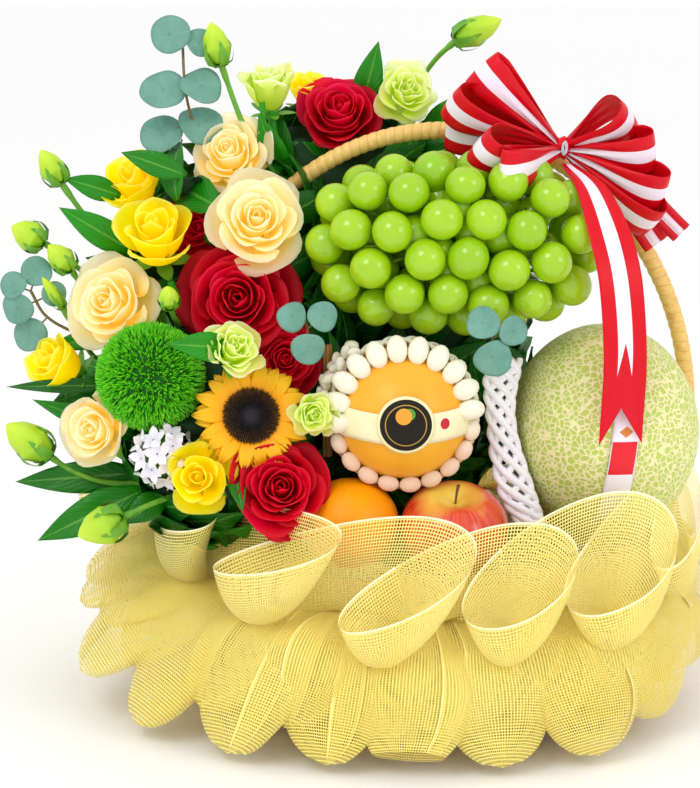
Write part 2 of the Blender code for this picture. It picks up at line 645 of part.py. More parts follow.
def lisianthus(name, finish):
    """A lisianthus head: a cup of broad waved petals with a lower heart."""
    at, face, radius, spread = LISIANTHUS[name]
    sides = 10
    steps = (
        (0.30, -0.75, 0.0), (0.72 + 0.1 * spread, -0.10, 0.03), (1.0, 0.42 - 0.2 * spread, 0.08),
        (0.66, 0.16, -0.05), (0.40, 0.42, 0.10))
    rings = [waved_ring(radius, *step, 0.8, sides) for step in steps]
    points, faces = loft(rings, (0, 0, -0.95 * radius), (0, 0, 0.30 * radius))
    return add_mesh(name, placed(points, facing(at, face, 0.4)), faces, finish)


def sunflower(finish):
    """A sunflower: a domed seed disc in a ring of pointed rays."""
    at, face, radius = SUNFLOWER
    rays = 14
    sides = 2 * rays
    steps = (  # share of the radius at a ray's tip and between two rays, then the height at each
        (0.36, 0.36, -0.24, -0.24), (1.00, 0.70, -0.03, -0.09), (1.00, 0.70, 0.03, -0.03),
        (0.50, 0.50, 0.10, 0.10), (0.44, 0.44, 0.22, 0.22))
    rings = []
    for share, notch, height, drop in steps:
        ring = []
        for k in range(sides):
            a = 2 * math.pi * k / sides
            out = radius * (notch if k % 2 else share)
            ring.append((out * math.cos(a), out * math.sin(a), radius * (drop if k % 2 else height)))
        rings.append(ring)
    points, faces = loft(rings, (0, 0, -0.30 * radius), (0, 0, 0.24 * radius))
    return add_mesh("sunflower", placed(points, facing(at, face)), faces, finish)


def bristled(name, at, radius, sides, rough, squash, finish, seed):
    """A ball of many short florets, uneven all over."""
    rng = random.Random(seed)
    work = bmesh.new()
    bmesh.ops.create_uvsphere(work, u_segments=sides, v_segments=sides * 2 // 3, radius=1.0)
    for vert in work.verts:
        vert.co *= radius * (1 - rough * rng.random())
        vert.co.y *= squash
    points = [v.co + Vector(at) for v in work.verts]
    faces = [tuple(v.index for v in f.verts) for f in work.faces]
    work.free()
    return add_mesh(name, points, faces, finish)


def bud(name, finish):
    """A closed bud on its bent stem."""
    base, tip, radius, stem = BUDS[name]
    base, tip = Vector(base), Vector(tip)
    length = (tip - base).length
    frame = facing(base, tip - base)
    rings = []
    for share, wide in ((0.10, 0.72), (0.42, 1.0), (0.78, 0.60)):
        rings.append([(radius * wide * math.cos(a), radius * wide * math.sin(a), length * share)
                      for a in (2 * math.pi * k / 6 for k in range(6))])
    points, faces = loft(rings, (0, 0, -0.06 * length), (0, 0, length))
    head = add_mesh(name, placed(points, frame), faces, finish)
    path = [base + (tip - base) * 0.25, *[Vector(p) for p in stem]]
    points, faces = tube(path, [0.0022] * len(path), 4)
    return fuse([head, add_mesh("bud_stem", points, faces, finish)])


def round_leaf(at, face, radius, foot, finish):
    """A round leaf, thickest in the middle, drawn out to where it grows from its stem."""
    sides = 7
    frame = facing(at, face)
    ring = [frame @ Vector((radius * math.cos(a), radius * 0.92 * math.sin(a), 0.0008 * math.sin(2 * a)))
            for a in (2 * math.pi * k / sides for k in range(sides))]
    nearest = min(range(sides), key=lambda k: (ring[k] - foot).length)
    ring[nearest] = foot
    points = [*ring, frame @ Vector((0, 0, 0.0012)), frame @ Vector((0, 0, -0.0026))]
    faces = []
    for k in range(sides):
        m = (k + 1) % sides
        faces += [(k, m, sides), (m, k, sides + 1)]
    return add_mesh("round_leaf", points, faces, finish)


def eucalyptus(name, finish):
    """A sprig: its stem with round leaves in pairs along it."""
    stem, leaves = EUCALYPTUS[name]
    path = [Vector(p) for p in stem]
    points, faces = tube(path, [0.0016] * len(path), 4)
    parts = [add_mesh(name, points, faces, finish)]
    fine = smooth_path(stem, 8)
    for k, leaf in enumerate(leaves):
        at = Vector(leaf[0])
        near = min(range(len(fine) - 3), key=lambda i: (fine[i] - at).length)
        foot = fine[max(1, near - 2 * (k % 3))].lerp(at, 0.02)
        parts.append(round_leaf(*leaf, foot, finish))
    return fuse(parts)


def long_leaf(base, tip, width, finish):
    """A lance-shaped leaf, bent and folded a little along its middle rib."""
    base, tip = Vector(base), Vector(tip)
    run = tip - base
    view = Vector((0, -1, 0.25))
    side = run.cross(view).normalized()
    up = side.cross(run).normalized()
    spots = []
    for t, wide, rise in ((0.30, 0.42, 0.05), (0.66, 0.40, 0.06)):
        mid = base + run * t + up * (rise * run.length)
        spots.append((mid, side * (wide * width)))
    (a, wa), (b, wb) = spots
    lift, fold = up * 0.0009, up * (0.10 * width)
    points = [base, a - wa + fold, b - wb + fold, tip, b + wb + fold, a + wa + fold,
              a + lift, b + lift, a - lift * 1.4, b - lift * 1.4]
    faces = []
    for m, n, turn in ((6, 7, 1), (8, 9, -1)):
        for face in ((0, 1, m), (1, 2, n, m), (2, 3, n), (3, 4, n), (4, 5, m, n), (5, 0, m)):
            faces.append(face[::turn])
    return add_mesh("leaf", points, faces, finish)


def core_distance(point, at, half):
    """How far a point is from a clump's middle, in shares of its half sizes."""
    return math.sqrt(sum(((p - c) / h) ** 2 for p, c, h in zip(point, at, half)))


def foliage(finish):
    """Stems and leaves behind the flower heads, grown together into one spray."""
    cores = []
    for at, half in FOLIAGE_CORES:
        core = turned("foliage", Vector(at), ball_profile(1.0, 1.0, 4), 7, finish)
        for k, vert in enumerate(core.data.vertices):
            local = vert.co - Vector(at)
            rough = 0.94 + 0.06 * math.sin(5.0 * k)
            vert.co = Vector(at) + Vector([c * h * rough for c, h in zip(local, half)])
        cores.append(core)
    leaves = []
    for leaf in LEAVES:
        base, tip = Vector(leaf[0]), Vector(leaf[1])
        at, half = min(FOLIAGE_CORES, key=lambda core: core_distance(base, *core))
        root = base.lerp(Vector(at), max(0.0, 1 - 0.62 / core_distance(base, at, half)))
        leaves.append(long_leaf(root, tip, leaf[2], finish))
    return fuse([*cores, *leaves])


def cane_prop(finish):
    """A short bundle of canes standing between the flowers and the pear."""
    path = [Vector((-0.0840, -0.062, z)) for z in (0.190, 0.230, 0.272)]
    points, faces = tube(path, (0.0040, 0.0037, 0.0040), 6)
    return add_mesh("cane_prop", points, faces, finish)


# ---------------------------------------------------------------- ruffle of mesh ribbon
def round_wall(direction, z, out):
    """A point out from the basket's wall, in a direction round it in radians."""
    x, y = wall_half(z)
    spot = Vector((x * math.cos(direction), y * math.sin(direction), z))
    normal = Vector((math.cos(direction) / x, math.sin(direction) / y, 0)).normalized()
    return spot + normal * out


def direction_of(tip):
    """Direction round the wall that faces a point."""
    return math.atan2(tip[1] / RIM[1], tip[0] / RIM[0])


def skirt(finish):
    """The lower ruffle: lobes of mesh that hang out from the belt down to the table."""
    rings = []
    count = len(SKIRT_TIPS)
    for k, tip in enumerate(SKIRT_TIPS):
        after = SKIRT_TIPS[(k + 1) % count]
        here, there = direction_of(tip), direction_of(after)
        while there > here:
            there -= 2 * math.pi
        for step, swell, drop in ((0.20, 1.0, 0.0), (0.5, 0.80, 0.018), (0.80, 1.0, 0.0)):
            turn = here + (there - here) * step
            mix = [p * (1 - step) + q * step for p, q in zip(tip, after)]
            low = max(mix[2] + drop, 0.0032)
            base = round_wall(turn, BELT_Z, 0)
            out = math.hypot(mix[0], mix[1]) * (0.5 + 0.5 * swell) - math.hypot(base.x, base.y)
            low = min(low, BELT_Z - 0.016)
            high = 0.5 * low + 0.5 * BELT_Z
            section = (round_wall(turn, BELT_Z, 0.0012), round_at(turn, out * 0.72, high + 0.012),
                       round_at(turn, out, low + 0.020), round_at(turn, out * 0.80, low),
                       round_at(turn, out * 0.30, min(low + 0.012, BELT_Z - 0.022)),
                       round_wall(turn, BELT_Z - 0.030, 0.0012))
            rings.append(section)
    points, faces = loft(rings, loop_closed=True)
    return add_mesh("ruffle_skirt", points, faces, finish)


def round_at(direction, out, z):
    """A point at a height, out from where the belt lies."""
    spot = round_wall(direction, BELT_Z, out)
    return Vector((spot.x, spot.y, z))


def collar_point(turn, out_share):
    """A point of the upper ruffle: turn counts its crests, out_share runs from the belt to its free edge."""
    count = len(COLLAR_CRESTS)
    k = int(turn) % count
    part = turn - int(turn)
    (here, top), (there, next_top) = COLLAR_CRESTS[k], COLLAR_CRESTS[(k + 1) % count]
    if there > here:
        there -= 360
    phase = 2 * math.pi * part
    a = math.radians(here + (there - here) * part)
    crest = top + (next_top - top) * part
    left, right = max(0.0, -math.cos(a)) ** 3, max(0.0, math.cos(a)) ** 3
    trough = 0.104 + 0.010 * left + 0.022 * right
    reach = 0.046 + 0.058 * left - 0.022 * right
    middle, swing = (crest + trough) / 2, (crest - trough) / 2
    z_edge = middle + swing * math.cos(phase)
    out_edge = reach - (0.010 + 0.004 * left) * math.cos(phase)
    step = math.radians(abs(there - here))
    curl = step * (0.13 * math.cos(phase) - 0.14 * math.sin(2 * phase)) * min(1.0, reach / 0.046)
    edge = round_wall(a + curl, 0.110, out_edge)
    root = round_wall(a + 0.4 * curl, 0.110, 0.0090)
    edge.z, root.z = z_edge, 0.111 + 0.36 * swing * math.cos(phase)
    return root.lerp(edge, out_share)


def collar(finish):
    """The upper ruffle: a ribbon of mesh whose free edge folds back and forth round the rim."""
    count, per, thick = len(COLLAR_CRESTS), 8, 0.0006
    shares = (0.0, 1.0)
    grid = [[collar_point(k / per, s) for s in shares] for k in range(count * per)]
    points, total = [], len(grid)
    for i, row in enumerate(grid):
        along = grid[(i + 1) % total][1] - grid[i - 1][1]
        normal = along.cross(row[1] - row[0]).normalized() * thick
        points += [row[0] + normal, row[1] + normal, row[1] - normal, row[0] - normal]
    faces = []
    for i in range(total):
        a, b = 4 * i, 4 * ((i + 1) % total)
        faces += [(a, a + 1, b + 1), (a, b + 1, b), (a + 3, b + 2, a + 2), (a + 3, b + 3, b + 2)]
        faces += [(a + 1, a + 2, b + 2, b + 1), (a + 3, a, b, b + 3)]
    return add_mesh("ruffle_collar", points, faces, finish)


# ---------------------------------------------------------------- bow
def ribbon(name, path, sides_of, widths, thick, finish):
    """A flat ribbon along a path. sides_of gives its width direction at each point."""
    rings = []
    for i, p in enumerate(path):
        along = (path[min(i + 1, len(path) - 1)] - path[max(i - 1, 0)]).normalized()
        side = sides_of[i]
        side = (side - along * side.dot(along)).normalized()
        normal = along.cross(side)
        w, t = side * widths[i], normal * thick
        rings.append([p - w - t, p + w - t, p + w + t, p - w + t])
    points, faces = loft(rings)
    last = 4 * (len(path) - 1)
    faces += [(0, 1, 2, 3), (last, last + 1, last + 2, last + 3)]
    return add_mesh(name, points, faces, finish)


def bow_loop(end, finish):
    """One loop: out from the knot, round its end and back."""
    reach = Vector((end[0], -end[1], end[2]))
    out = reach.normalized()
    length, deep = reach.length, end[3]
    front = Vector((0, -1, 0))
    front = (front - out * front.dot(out)).normalized()
    side = out.cross(front)
    path, widths = [], []
    for share, open_, wide in ((0.08, 0.16, 0.10), (0.50, 0.84, 0.60), (0.90, 0.90, 0.88), (1.0, 0.0, 0.92),
                               (0.88, -0.86, 0.86), (0.47, -0.74, 0.56), (0.08, -0.16, 0.10)):
        path.append(KNOT + out * (length * share) + front * (deep * open_))
        widths.append(wide * RIBBON / 2 * min(1.0, length / 0.07))
    return ribbon("bow_loop", path, [side] * len(path), widths, 0.0005, finish)


def bow(finish):
    """The bow: its knot, loops to both sides and short tails."""
    knot = turned("bow", KNOT, ball_profile(0.0095, 0.0105, 4), 8, finish)
    parts = [knot, *[bow_loop(end, finish) for end in BOW_LOOPS]]
    across = Vector((-0.5, 0, -1)).normalized()
    for tip, half in (((0.174, -0.020, 0.347), 0.0085), ((0.157, -0.012, 0.338), 0.0100)):
        tip = Vector(tip)
        path = [KNOT.copy(), KNOT.lerp(tip, 0.5) + Vector((0.004, 0.004, 0.006)), tip]
        parts.append(ribbon("bow_tail", path, [across] * 3, [0.004, half * 0.9, half], 0.0005, finish))
    return fuse(parts)


def tail(finish):
    """The long tail that hangs from the knot down over the melon, with a swallow-tailed end."""
    mids = smooth_path(((0.0875, -0.034, 0.399), (0.097, -0.072, 0.385), (0.108, -0.098, 0.340),
                        (0.117, -0.110, 0.285), (0.120, -0.113, 0.240)), 3)
    widths = [0.0045 + (RIBBON / 2 - 0.0045) * min(1.0, k / 5) for k in range(len(mids))]
    side = Vector((1.0, 0.10, 0.0)).normalized()
    rings = []
    last = len(mids) - 1
    for i, p in enumerate(mids):
        along = (mids[min(i + 1, last)] - mids[max(i - 1, 0)]).normalized()
        across = (side - along * side.dot(along)).normalized()
        normal = along.cross(across) * 0.0005
        drop = along * 0.026 if i == last else Vector((0, 0, 0))
        w = across * widths[i]
        rings.append([p - w + drop - normal, p - normal, p + w + drop - normal,
                      p + w + drop + normal, p + normal, p - w + drop + normal])
    points, faces = loft(rings)
    faces += [(0, 1, 4, 5), (1, 2, 3, 4)]
    end = 6 * last
    faces += [(end, end + 1, end + 4, end + 5), (end + 1, end + 2, end + 3, end + 4)]
    return add_mesh("bow_long_tail", points, faces, finish)


# ---------------------------------------------------------------- build
def build():
    clear_scene()
    cane = material("cane", (0.72, 0.50, 0.16), 0.6)
    straw = material("straw", (0.55, 0.44, 0.20), 0.8)
    green = material("leaf_green", (0.05, 0.26, 0.05), 0.5)
    blue_green = material("eucalyptus_green", (0.22, 0.44, 0.36), 0.6)
    bud_green = material("bud_green", (0.45, 0.66, 0.08), 0.5)
    pale_green = material("pale_green_petal", (0.66, 0.82, 0.28), 0.5)
    red_petal = material("red_petal", (0.45, 0.01, 0.02), 0.5)
    peach_petal = material("peach_petal", (0.95, 0.70, 0.42), 0.5)
    yellow_petal = material("yellow_petal", (0.95, 0.65, 0.01), 0.5)
    ray = material("sunflower_yellow", (0.98, 0.50, 0.02), 0.5)
    pompon_green = material("pompon_green", (0.08, 0.42, 0.03), 0.6)
    white_petal = material("white_petal", (0.86, 0.84, 0.90), 0.5)
    grape_skin = material("grape_skin", (0.36, 0.60, 0.02), 0.25)
    pear_skin = material("pear_skin", (0.90, 0.38, 0.03), 0.4)
    melon_skin = material("melon_skin", (0.50, 0.60, 0.20), 0.6)
    orange_skin = material("orange_skin", (0.98, 0.34, 0.01), 0.4)
    apple_skin = material("apple_skin", (0.68, 0.05, 0.03), 0.3)
    foam = material("foam", (0.88, 0.86, 0.86), 0.8)
    label = material("label_paper", (0.86, 0.82, 0.72), 0.6)
    mesh_yellow = material("yellow_mesh", (0.86, 0.70, 0.20), 0.7)
    satin = material("striped_satin", (0.74, 0.02, 0.03), 0.4)

    nodes = [basket(cane), handle(cane), pear(pear_skin), pear_band(label), pear_sticker(label),
             melon(melon_skin), melon_label(label), orange(orange_skin), apple(apple_skin),
             grapes(grape_skin), sunflower(ray)]
    petals = {"red": red_petal, "peach": peach_petal, "yellow": yellow_petal}
    heads = []
    for name, (at, _, radius, _) in ROSES.items():
        heads.append((at[1] - radius, rose(name, petals[name.split("_")[0]])))
    for name, (at, _, radius, _) in LISIANTHUS.items():
        heads.append((at[1] - radius, lisianthus(name, pale_green)))
    heads.append((POMPON[0][1] - 0.030, bristled("pompon", *POMPON, 12, 0.07, 0.85, pompon_green, 3)))
    heads.append((FLORETS[0][1], bristled("white_florets", *FLORETS, 9, 0.20, 0.8, white_petal, 5)))
    heads.sort(key=lambda pair: pair[0])
    nodes += [head for _, head in heads]
    nodes += [bud(name, bud_green) for name in BUDS]
    nodes += [eucalyptus(name, blue_green) for name in EUCALYPTUS]
    nodes += [tail(satin), bow(satin), cane_prop(cane), pear_net(foam), foam_sleeve(foam),
              straw_bed(straw), foliage(green), collar(mesh_yellow), skirt(mesh_yellow)]
    # Pieces are listed from those that keep their whole shape to those that make room for them.
    for later, low in enumerate(nodes):
        for high in nodes[:later]:
            clear_of(low, high)


build()
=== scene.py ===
"""Looks of a fruit gift basket: flowers, fruit, a satin bow and a ruffle of open mesh round a cane basket.

Metres, +Z up, the front at -Y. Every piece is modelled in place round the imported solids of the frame.
"""

import math
import random

import bmesh
import bpy
import numpy as np
from mathutils import Matrix, Vector, noise


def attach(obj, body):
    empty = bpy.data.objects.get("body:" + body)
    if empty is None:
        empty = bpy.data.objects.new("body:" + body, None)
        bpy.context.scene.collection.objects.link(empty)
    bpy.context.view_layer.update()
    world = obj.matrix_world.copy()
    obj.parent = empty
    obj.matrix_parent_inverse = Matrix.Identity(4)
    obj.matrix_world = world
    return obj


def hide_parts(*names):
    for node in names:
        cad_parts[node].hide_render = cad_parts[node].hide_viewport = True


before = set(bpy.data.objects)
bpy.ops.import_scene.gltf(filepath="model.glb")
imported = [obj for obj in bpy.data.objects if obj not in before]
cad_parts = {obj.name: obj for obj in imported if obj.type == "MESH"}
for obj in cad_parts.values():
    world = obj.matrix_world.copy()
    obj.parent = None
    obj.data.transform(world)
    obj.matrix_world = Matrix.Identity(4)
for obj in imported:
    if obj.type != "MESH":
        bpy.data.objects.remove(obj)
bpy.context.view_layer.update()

bpy.ops.object.select_all(action="DESELECT")

# ---------------------------------------------------------------- camera
# A long lens a little above the level of the fruit, straight at the front.
CAMERA_LENS = 100.0
CAMERA_FAR = 1.64
CAMERA_RISE = math.radians(12)
CAMERA_AIM = Vector((-0.0675, 0.0, 0.223))
bpy.ops.object.camera_add()
camera = bpy.context.object
camera.data.lens = CAMERA_LENS
camera.location = CAMERA_AIM + CAMERA_FAR * Vector((0, -math.cos(CAMERA_RISE), math.sin(CAMERA_RISE)))
camera.rotation_euler = (math.pi / 2 - CAMERA_RISE, 0, 0)
bpy.context.scene.camera = camera
bpy.context.scene.view_settings.view_transform = "Standard"


# ---------------------------------------------------------------- studio
# A pale matt floor in an even white room, with one broad soft light from the upper left front
# and a weaker one from the right, so that fruit skins carry small soft highlights.
def linear(hex_code):
    """An sRGB colour such as "E0061E" as linear red, green and blue with full alpha."""
    parts = [int(hex_code[k:k + 2], 16) / 255 for k in (0, 2, 4)]
    return (*[c / 12.92 if c <= 0.04045 else ((c + 0.055) / 1.055) ** 2.4 for c in parts], 1.0)


def add(tree, kind, settings=None, links=None):
    """Adds a node to a tree, with its settings and the sockets that feed its inputs."""
    made = tree.nodes.new(kind)
    for name, value in (settings or {}).items():
        if isinstance(name, str) and hasattr(made, name):
            setattr(made, name, value)
        else:
            made.inputs[name].default_value = value
    for name, source in (links or {}).items():
        tree.links.new(source, made.inputs[name])
    return made


def new_finish(name, settings):
    """A material with one Principled shader: the material, its tree and the shader."""
    made = bpy.data.materials.new(name)
    made.use_nodes = True
    tree = made.node_tree
    shader = tree.nodes["Principled BSDF"]
    for key, value in settings.items():
        shader.inputs[key].default_value = value
    return made, tree, shader


def fed(tree, node, socket, value):
    """Feeds an input of a node: a colour code, a number or another node's output."""
    if isinstance(value, bpy.types.NodeSocket):
        tree.links.new(value, node.inputs[socket])
    else:
        node.inputs[socket].default_value = linear(value) if isinstance(value, str) else value


def blend(tree, share, low, high):
    """A mix of two colours, from low at a share of 0 to high at 1."""
    made = add(tree, "ShaderNodeMix", {"data_type": "RGBA"})
    for socket, value in ((0, share), (6, low), (7, high)):
        fed(tree, made, socket, value)
    return made


def mottling(tree, where, scale, detail):
    """Cloudy noise."""
    return add(tree, "ShaderNodeTexNoise", {"Scale": scale, "Detail": detail}, {"Vector": where})


def ramp(tree, value, low, high, to_min=0.0, to_max=1.0):
    """Maps a value that runs from low to high to the range to_min to to_max."""
    ends = {"From Min": low, "From Max": high, "To Min": to_min, "To Max": to_max}
    return add(tree, "ShaderNodeMapRange", ends, {"Value": value})


def reckoned(tree, operation, first, second=None):
    """A sum on one or two values."""
    made = add(tree, "ShaderNodeMath", {"operation": operation}, {0: first})
    if second is not None:
        fed(tree, made, 1, second)
    return made


def raised(tree, height, strength, distance):
    """Small relief from a height."""
    return add(tree, "ShaderNodeBump", {"Strength": strength, "Distance": distance}, {"Height": height})


def axes_of(tree, where):
    """A place's X, Y and Z."""
    return add(tree, "ShaderNodeSeparateXYZ", {}, {"Vector": where})


def coated(tree, shader, tone, relief=None):
    """Gives the shader its colour and, where there is one, its relief."""
    tree.links.new(tone.outputs[2], shader.inputs["Base Color"])
    if relief is not None:
        tree.links.new(relief.outputs["Normal"], shader.inputs["Normal"])


bpy.ops.mesh.primitive_plane_add(size=30, location=(0, 0, -0.0002))
floor = bpy.context.object
floor.name = "floor"
matt_paint, tree, shader = new_finish("matt_white_paint", {"Roughness": 0.9})
grain = add(tree, "ShaderNodeTexNoise", {"Scale": 3.0})
mottle = blend(tree, grain.outputs["Fac"], "FAFAF9", "FEFEFE")
coated(tree, shader, mottle)
floor.data.materials.append(matt_paint)

room = bpy.data.worlds.new("white_room")
room.use_nodes = True
room.node_tree.nodes["Background"].inputs["Color"].default_value = linear("FFFFFF")
room.node_tree.nodes["Background"].inputs["Strength"].default_value = 1.0
bpy.context.scene.world = room
for name, place, size, power in (("soft_key", (-0.9, -1.5, 1.9), 0.9, 12),
                                 ("soft_fill", (1.3, -1.2, 1.0), 0.7, 4)):
    bpy.ops.object.light_add(type="AREA", location=place)
    light = bpy.context.object
    light.name = name
    light.data.size = size
    light.data.energy = power
    light.rotation_euler = (Vector((-0.05, 0, 0.2)) - Vector(place)).to_track_quat("-Z", "Y").to_euler()


# ---------------------------------------------------------------- basket
# An oval tub of golden cane: weavers pass in front of and behind upright stakes, and two twisted
# strands make the rim. Only its rim and a part of its wall show behind the ruffle.
RIM = (0.168, 0.150)
FOOT = (0.136, 0.118)
RIM_Z = 0.120


def sheet_of(across, along, shape):
    """A grid of across by along cells, laid by shape(u, v), where u and v run from 0 to 1."""
    bpy.ops.mesh.primitive_grid_add(x_subdivisions=across, y_subdivisions=along, size=1.0)
    sheet = bpy.context.object
    flat = np.empty(3 * len(sheet.data.vertices))
    sheet.data.vertices.foreach_get("co", flat)
    flat = flat.reshape(-1, 3)
    laid = np.stack(shape(flat[:, 0] + 0.5, flat[:, 1] + 0.5), 1)
    sheet.data.vertices.foreach_set("co", laid.ravel())
    sheet.data.shade_smooth()
    return sheet


def joined(name, parts):
    """Joins objects into one, named for what it is."""
    bpy.ops.object.select_all(action="DESELECT")
    for part in parts:
        part.select_set(True)
    bpy.context.view_layer.objects.active = parts[0]
    if len(parts) > 1:
        bpy.ops.object.join()
    made = bpy.context.view_layer.objects.active
    made.name = made.data.name = name
    return made


def welded(piece, distance=1e-5):
    """Merges doubled points and turns the faces outwards."""
    work = bmesh.new()
    work.from_mesh(piece.data)
    bmesh.ops.remove_doubles(work, verts=work.verts, dist=distance)
    bmesh.ops.recalc_face_normals(work, faces=work.faces)
    work.to_mesh(piece.data)
    work.free()
    return piece


def thickened(piece, thickness, offset=-1.0, back_material=0):
    """Gives a thin sheet a thickness; back_material is how far on its far side's material slot lies."""
    skin = piece.modifiers.new("thin", "SOLIDIFY")
    skin.thickness = thickness
    skin.offset = offset
    skin.material_offset = back_material
    bpy.context.view_layer.objects.active = piece
    bpy.ops.object.modifier_apply(modifier=skin.name)


def toned(piece, tone):
    """Gives every point of a piece one tone, for its finish to read."""
    layer = piece.data.attributes.new("tone", "FLOAT", "POINT")
    layer.data.foreach_set("value", np.full(len(piece.data.vertices), tone))


def turned(out, side, turn, rise):
    """A point that lies out and to the side, turned about the upright axis."""
    return out * math.cos(turn) - side * math.sin(turn), out * math.sin(turn) + side * math.cos(turn), rise


def on_globe(radius, polar, turn):
    """A point at an angle from the pole of a globe, in a direction round it."""
    level = radius * math.sin(polar)
    return Vector((level * math.cos(turn), level * math.sin(turn), radius * math.cos(polar)))


def wall_at(turn, height, out):
    """Points of the flaring oval wall, in a direction, at a height, out from its face."""
    share = height / RIM_Z
    wide = FOOT[0] + (RIM[0] - FOOT[0]) * share
    deep = FOOT[1] + (RIM[1] - FOOT[1]) * share
    slope = np.hypot(np.cos(turn) / wide, np.sin(turn) / deep)
    return ((wide + out / wide / slope) * np.cos(turn), (deep + out / deep / slope) * np.sin(turn),
            height + 0 * turn)


STAKES = 54
WEAVER = 0.0046           # height of one row of weaving


def woven_wall(u, v):
    turn = 2 * math.pi * u
    height = 0.001 + v * (RIM_Z - 0.008)
    row = np.floor(height / WEAVER)
    across = 2 * (height / WEAVER - row) - 1
    strand = np.sqrt(np.clip(1 - across ** 2, 0, 1))
    sway = np.cos(STAKES / 2 * turn + math.pi * (row % 2))
    return wall_at(turn, height, -0.0040 + 0.0012 * strand + 0.0014 * sway)


wall = sheet_of(STAKES * 6, 24 * 5, woven_wall)
lining = sheet_of(72, 4, lambda u, v: wall_at(-2 * math.pi * u, WEAVER + v * (RIM_Z - 0.010), -0.0066))
base = sheet_of(72, 8, lambda u, v: wall_at(2 * math.pi * u, 0.001 + 0 * v, 0.0)[:2] + (0.0012 + 0 * v,))
flat = np.empty(3 * len(base.data.vertices))
base.data.vertices.foreach_get("co", flat)
flat = flat.reshape(-1, 3)
rows = np.repeat(np.linspace(0, 1, 9), 73)
flat[:, :2] *= (0.02 + 0.96 * rows)[:, None]
base.data.vertices.foreach_set("co", flat.ravel())


def rim_strand(phase):
    """One of the strands twisted round the rim."""
    def shape(u, v):
        turn = 2 * math.pi * v
        twist = 26 * turn + phase
        ring = 2 * math.pi * u
        out = 0.0028 * np.cos(twist) + 0.0034 * np.cos(ring)
        rise = 0.0028 * np.sin(twist) + 0.0034 * np.sin(ring)
        x, y, _ = wall_at(turn, RIM_Z - 0.0065, -0.002 + out)
        return x, y, RIM_Z - 0.0065 + rise
    return sheet_of(8, 520, shape)


cane_basket = joined("cane_basket", [welded(part) for part in
                                     (wall, lining, base, rim_strand(0.0), rim_strand(math.pi))])
golden_cane, tree, shader = new_finish("golden_cane", {"Roughness": 0.5, "Specular IOR Level": 0.35})
place = add(tree, "ShaderNodeTexCoord")
fibre = mottling(tree, place.outputs["Object"], 180.0, 4.0)
patch = mottling(tree, place.outputs["Object"], 26.0, 3.0)
tone = blend(tree, fibre.outputs["Fac"], "D99A2E", "F0C866")
dark = ramp(tree, patch.outputs["Fac"], 0.58, 0.75, to_max=0.5)
aged = blend(tree, dark.outputs["Result"], tone.outputs[2], "B9762A")
relief = raised(tree, fibre.outputs["Fac"], 0.35, 0.0006)
coated(tree, shader, aged, relief)
cane_basket.data.materials.append(golden_cane)
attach(cane_basket, "root")
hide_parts("basket")

# ---------------------------------------------------------------- handle
# An arch of bundled canes, wrapped from end to end with one flat peel that lies in slanting turns.
ARCH_HALF = 0.185
ARCH_RISE = 0.210
ARCH_Z = 0.210
CANE_R = 0.0062
WRAPS = 112


def arch_at(turn):
    """Centre line of the handle and its direction, turn from 0 at the right foot to 1 at the left."""
    leg = ARCH_Z - RIM_Z - 0.0006
    bow = math.pi * (ARCH_HALF + ARCH_RISE) / 2
    along = turn * (2 * leg + bow)
    low = np.minimum(along, 2 * leg + bow - along)
    on_leg = low < leg
    lean = (ARCH_HALF - RIM[0] + 0.002) * (1 - np.minimum(low, leg) / leg) ** 2
    a = math.pi * np.clip(along - leg, 0, bow) / bow
    x = np.where(on_leg, np.sign(0.5 - turn) * (ARCH_HALF - lean), ARCH_HALF * np.cos(a))
    z = np.where(on_leg, RIM_Z + 0.0006 + low, ARCH_Z + ARCH_RISE * np.sin(a))
    return x, z


def wrapped(u, v):
    """The peel: u across its width, v along its winding."""
    turns = WRAPS * v
    pitch = 1.0 / WRAPS
    slant = 2 * math.pi * turns
    along = np.clip(v * (1 - 1.15 * pitch) + u * pitch * 1.12, 0, 1)
    x, z = arch_at(along)
    x2, z2 = arch_at(np.clip(along + 0.002, 0, 1))
    x1, z1 = arch_at(np.clip(along - 0.002, 0, 1))
    run = np.hypot(x2 - x1, z2 - z1)
    tx, tz = (x2 - x1) / run, (z2 - z1) / run
    radius = CANE_R * (0.90 + 0.10 * np.sin(math.pi * u) + 0.04 * u + 0.02 * np.sin(9 * v * math.pi))
    return x - tz * radius * np.cos(slant), radius * np.sin(slant), z + tx * radius * np.cos(slant)


peel = sheet_of(5, WRAPS * 16, wrapped)
core = sheet_of(12, 80, lambda u, v: (
    arch_at(v)[0] + 0.0052 * np.cos(2 * math.pi * u) * np.cos(math.pi * v),
    0.0052 * np.sin(2 * math.pi * u),
    arch_at(v)[1] - 0.0052 * np.cos(2 * math.pi * u) * -np.sin(math.pi * v)))
cane_handle = joined("cane_handle", [peel, welded(core)])
handle_cane, tree, shader = new_finish("wrapping_cane_peel", {"Roughness": 0.42, "Specular IOR Level": 0.4})
place = add(tree, "ShaderNodeTexCoord")
strands = add(tree, "ShaderNodeMapping", {"Scale": (3.0, 900.0, 1.0)}, {"Vector": place.outputs["UV"]})
fibre = mottling(tree, strands.outputs["Vector"], 1.0, 3.0)
patch = mottling(tree, place.outputs["Object"], 70.0, 2.0)
split = axes_of(tree, place.outputs["UV"])
# Painted shade: the edge of each turn of peel that tucks under the turn before it is painted darker.
edge = ramp(tree, split.outputs["X"], 0.0, 0.22, 1.0, 0.0)
tone = blend(tree, fibre.outputs["Fac"], "E0A544", "F8DC8E")
specks = ramp(tree, patch.outputs["Fac"], 0.60, 0.72, to_max=0.55)
aged = blend(tree, specks.outputs["Result"], tone.outputs[2], "C98A34")
painted_gap_shade = blend(tree, edge.outputs["Result"], aged.outputs[2], "A86C22")
relief = raised(tree, fibre.outputs["Fac"], 0.3, 0.0004)
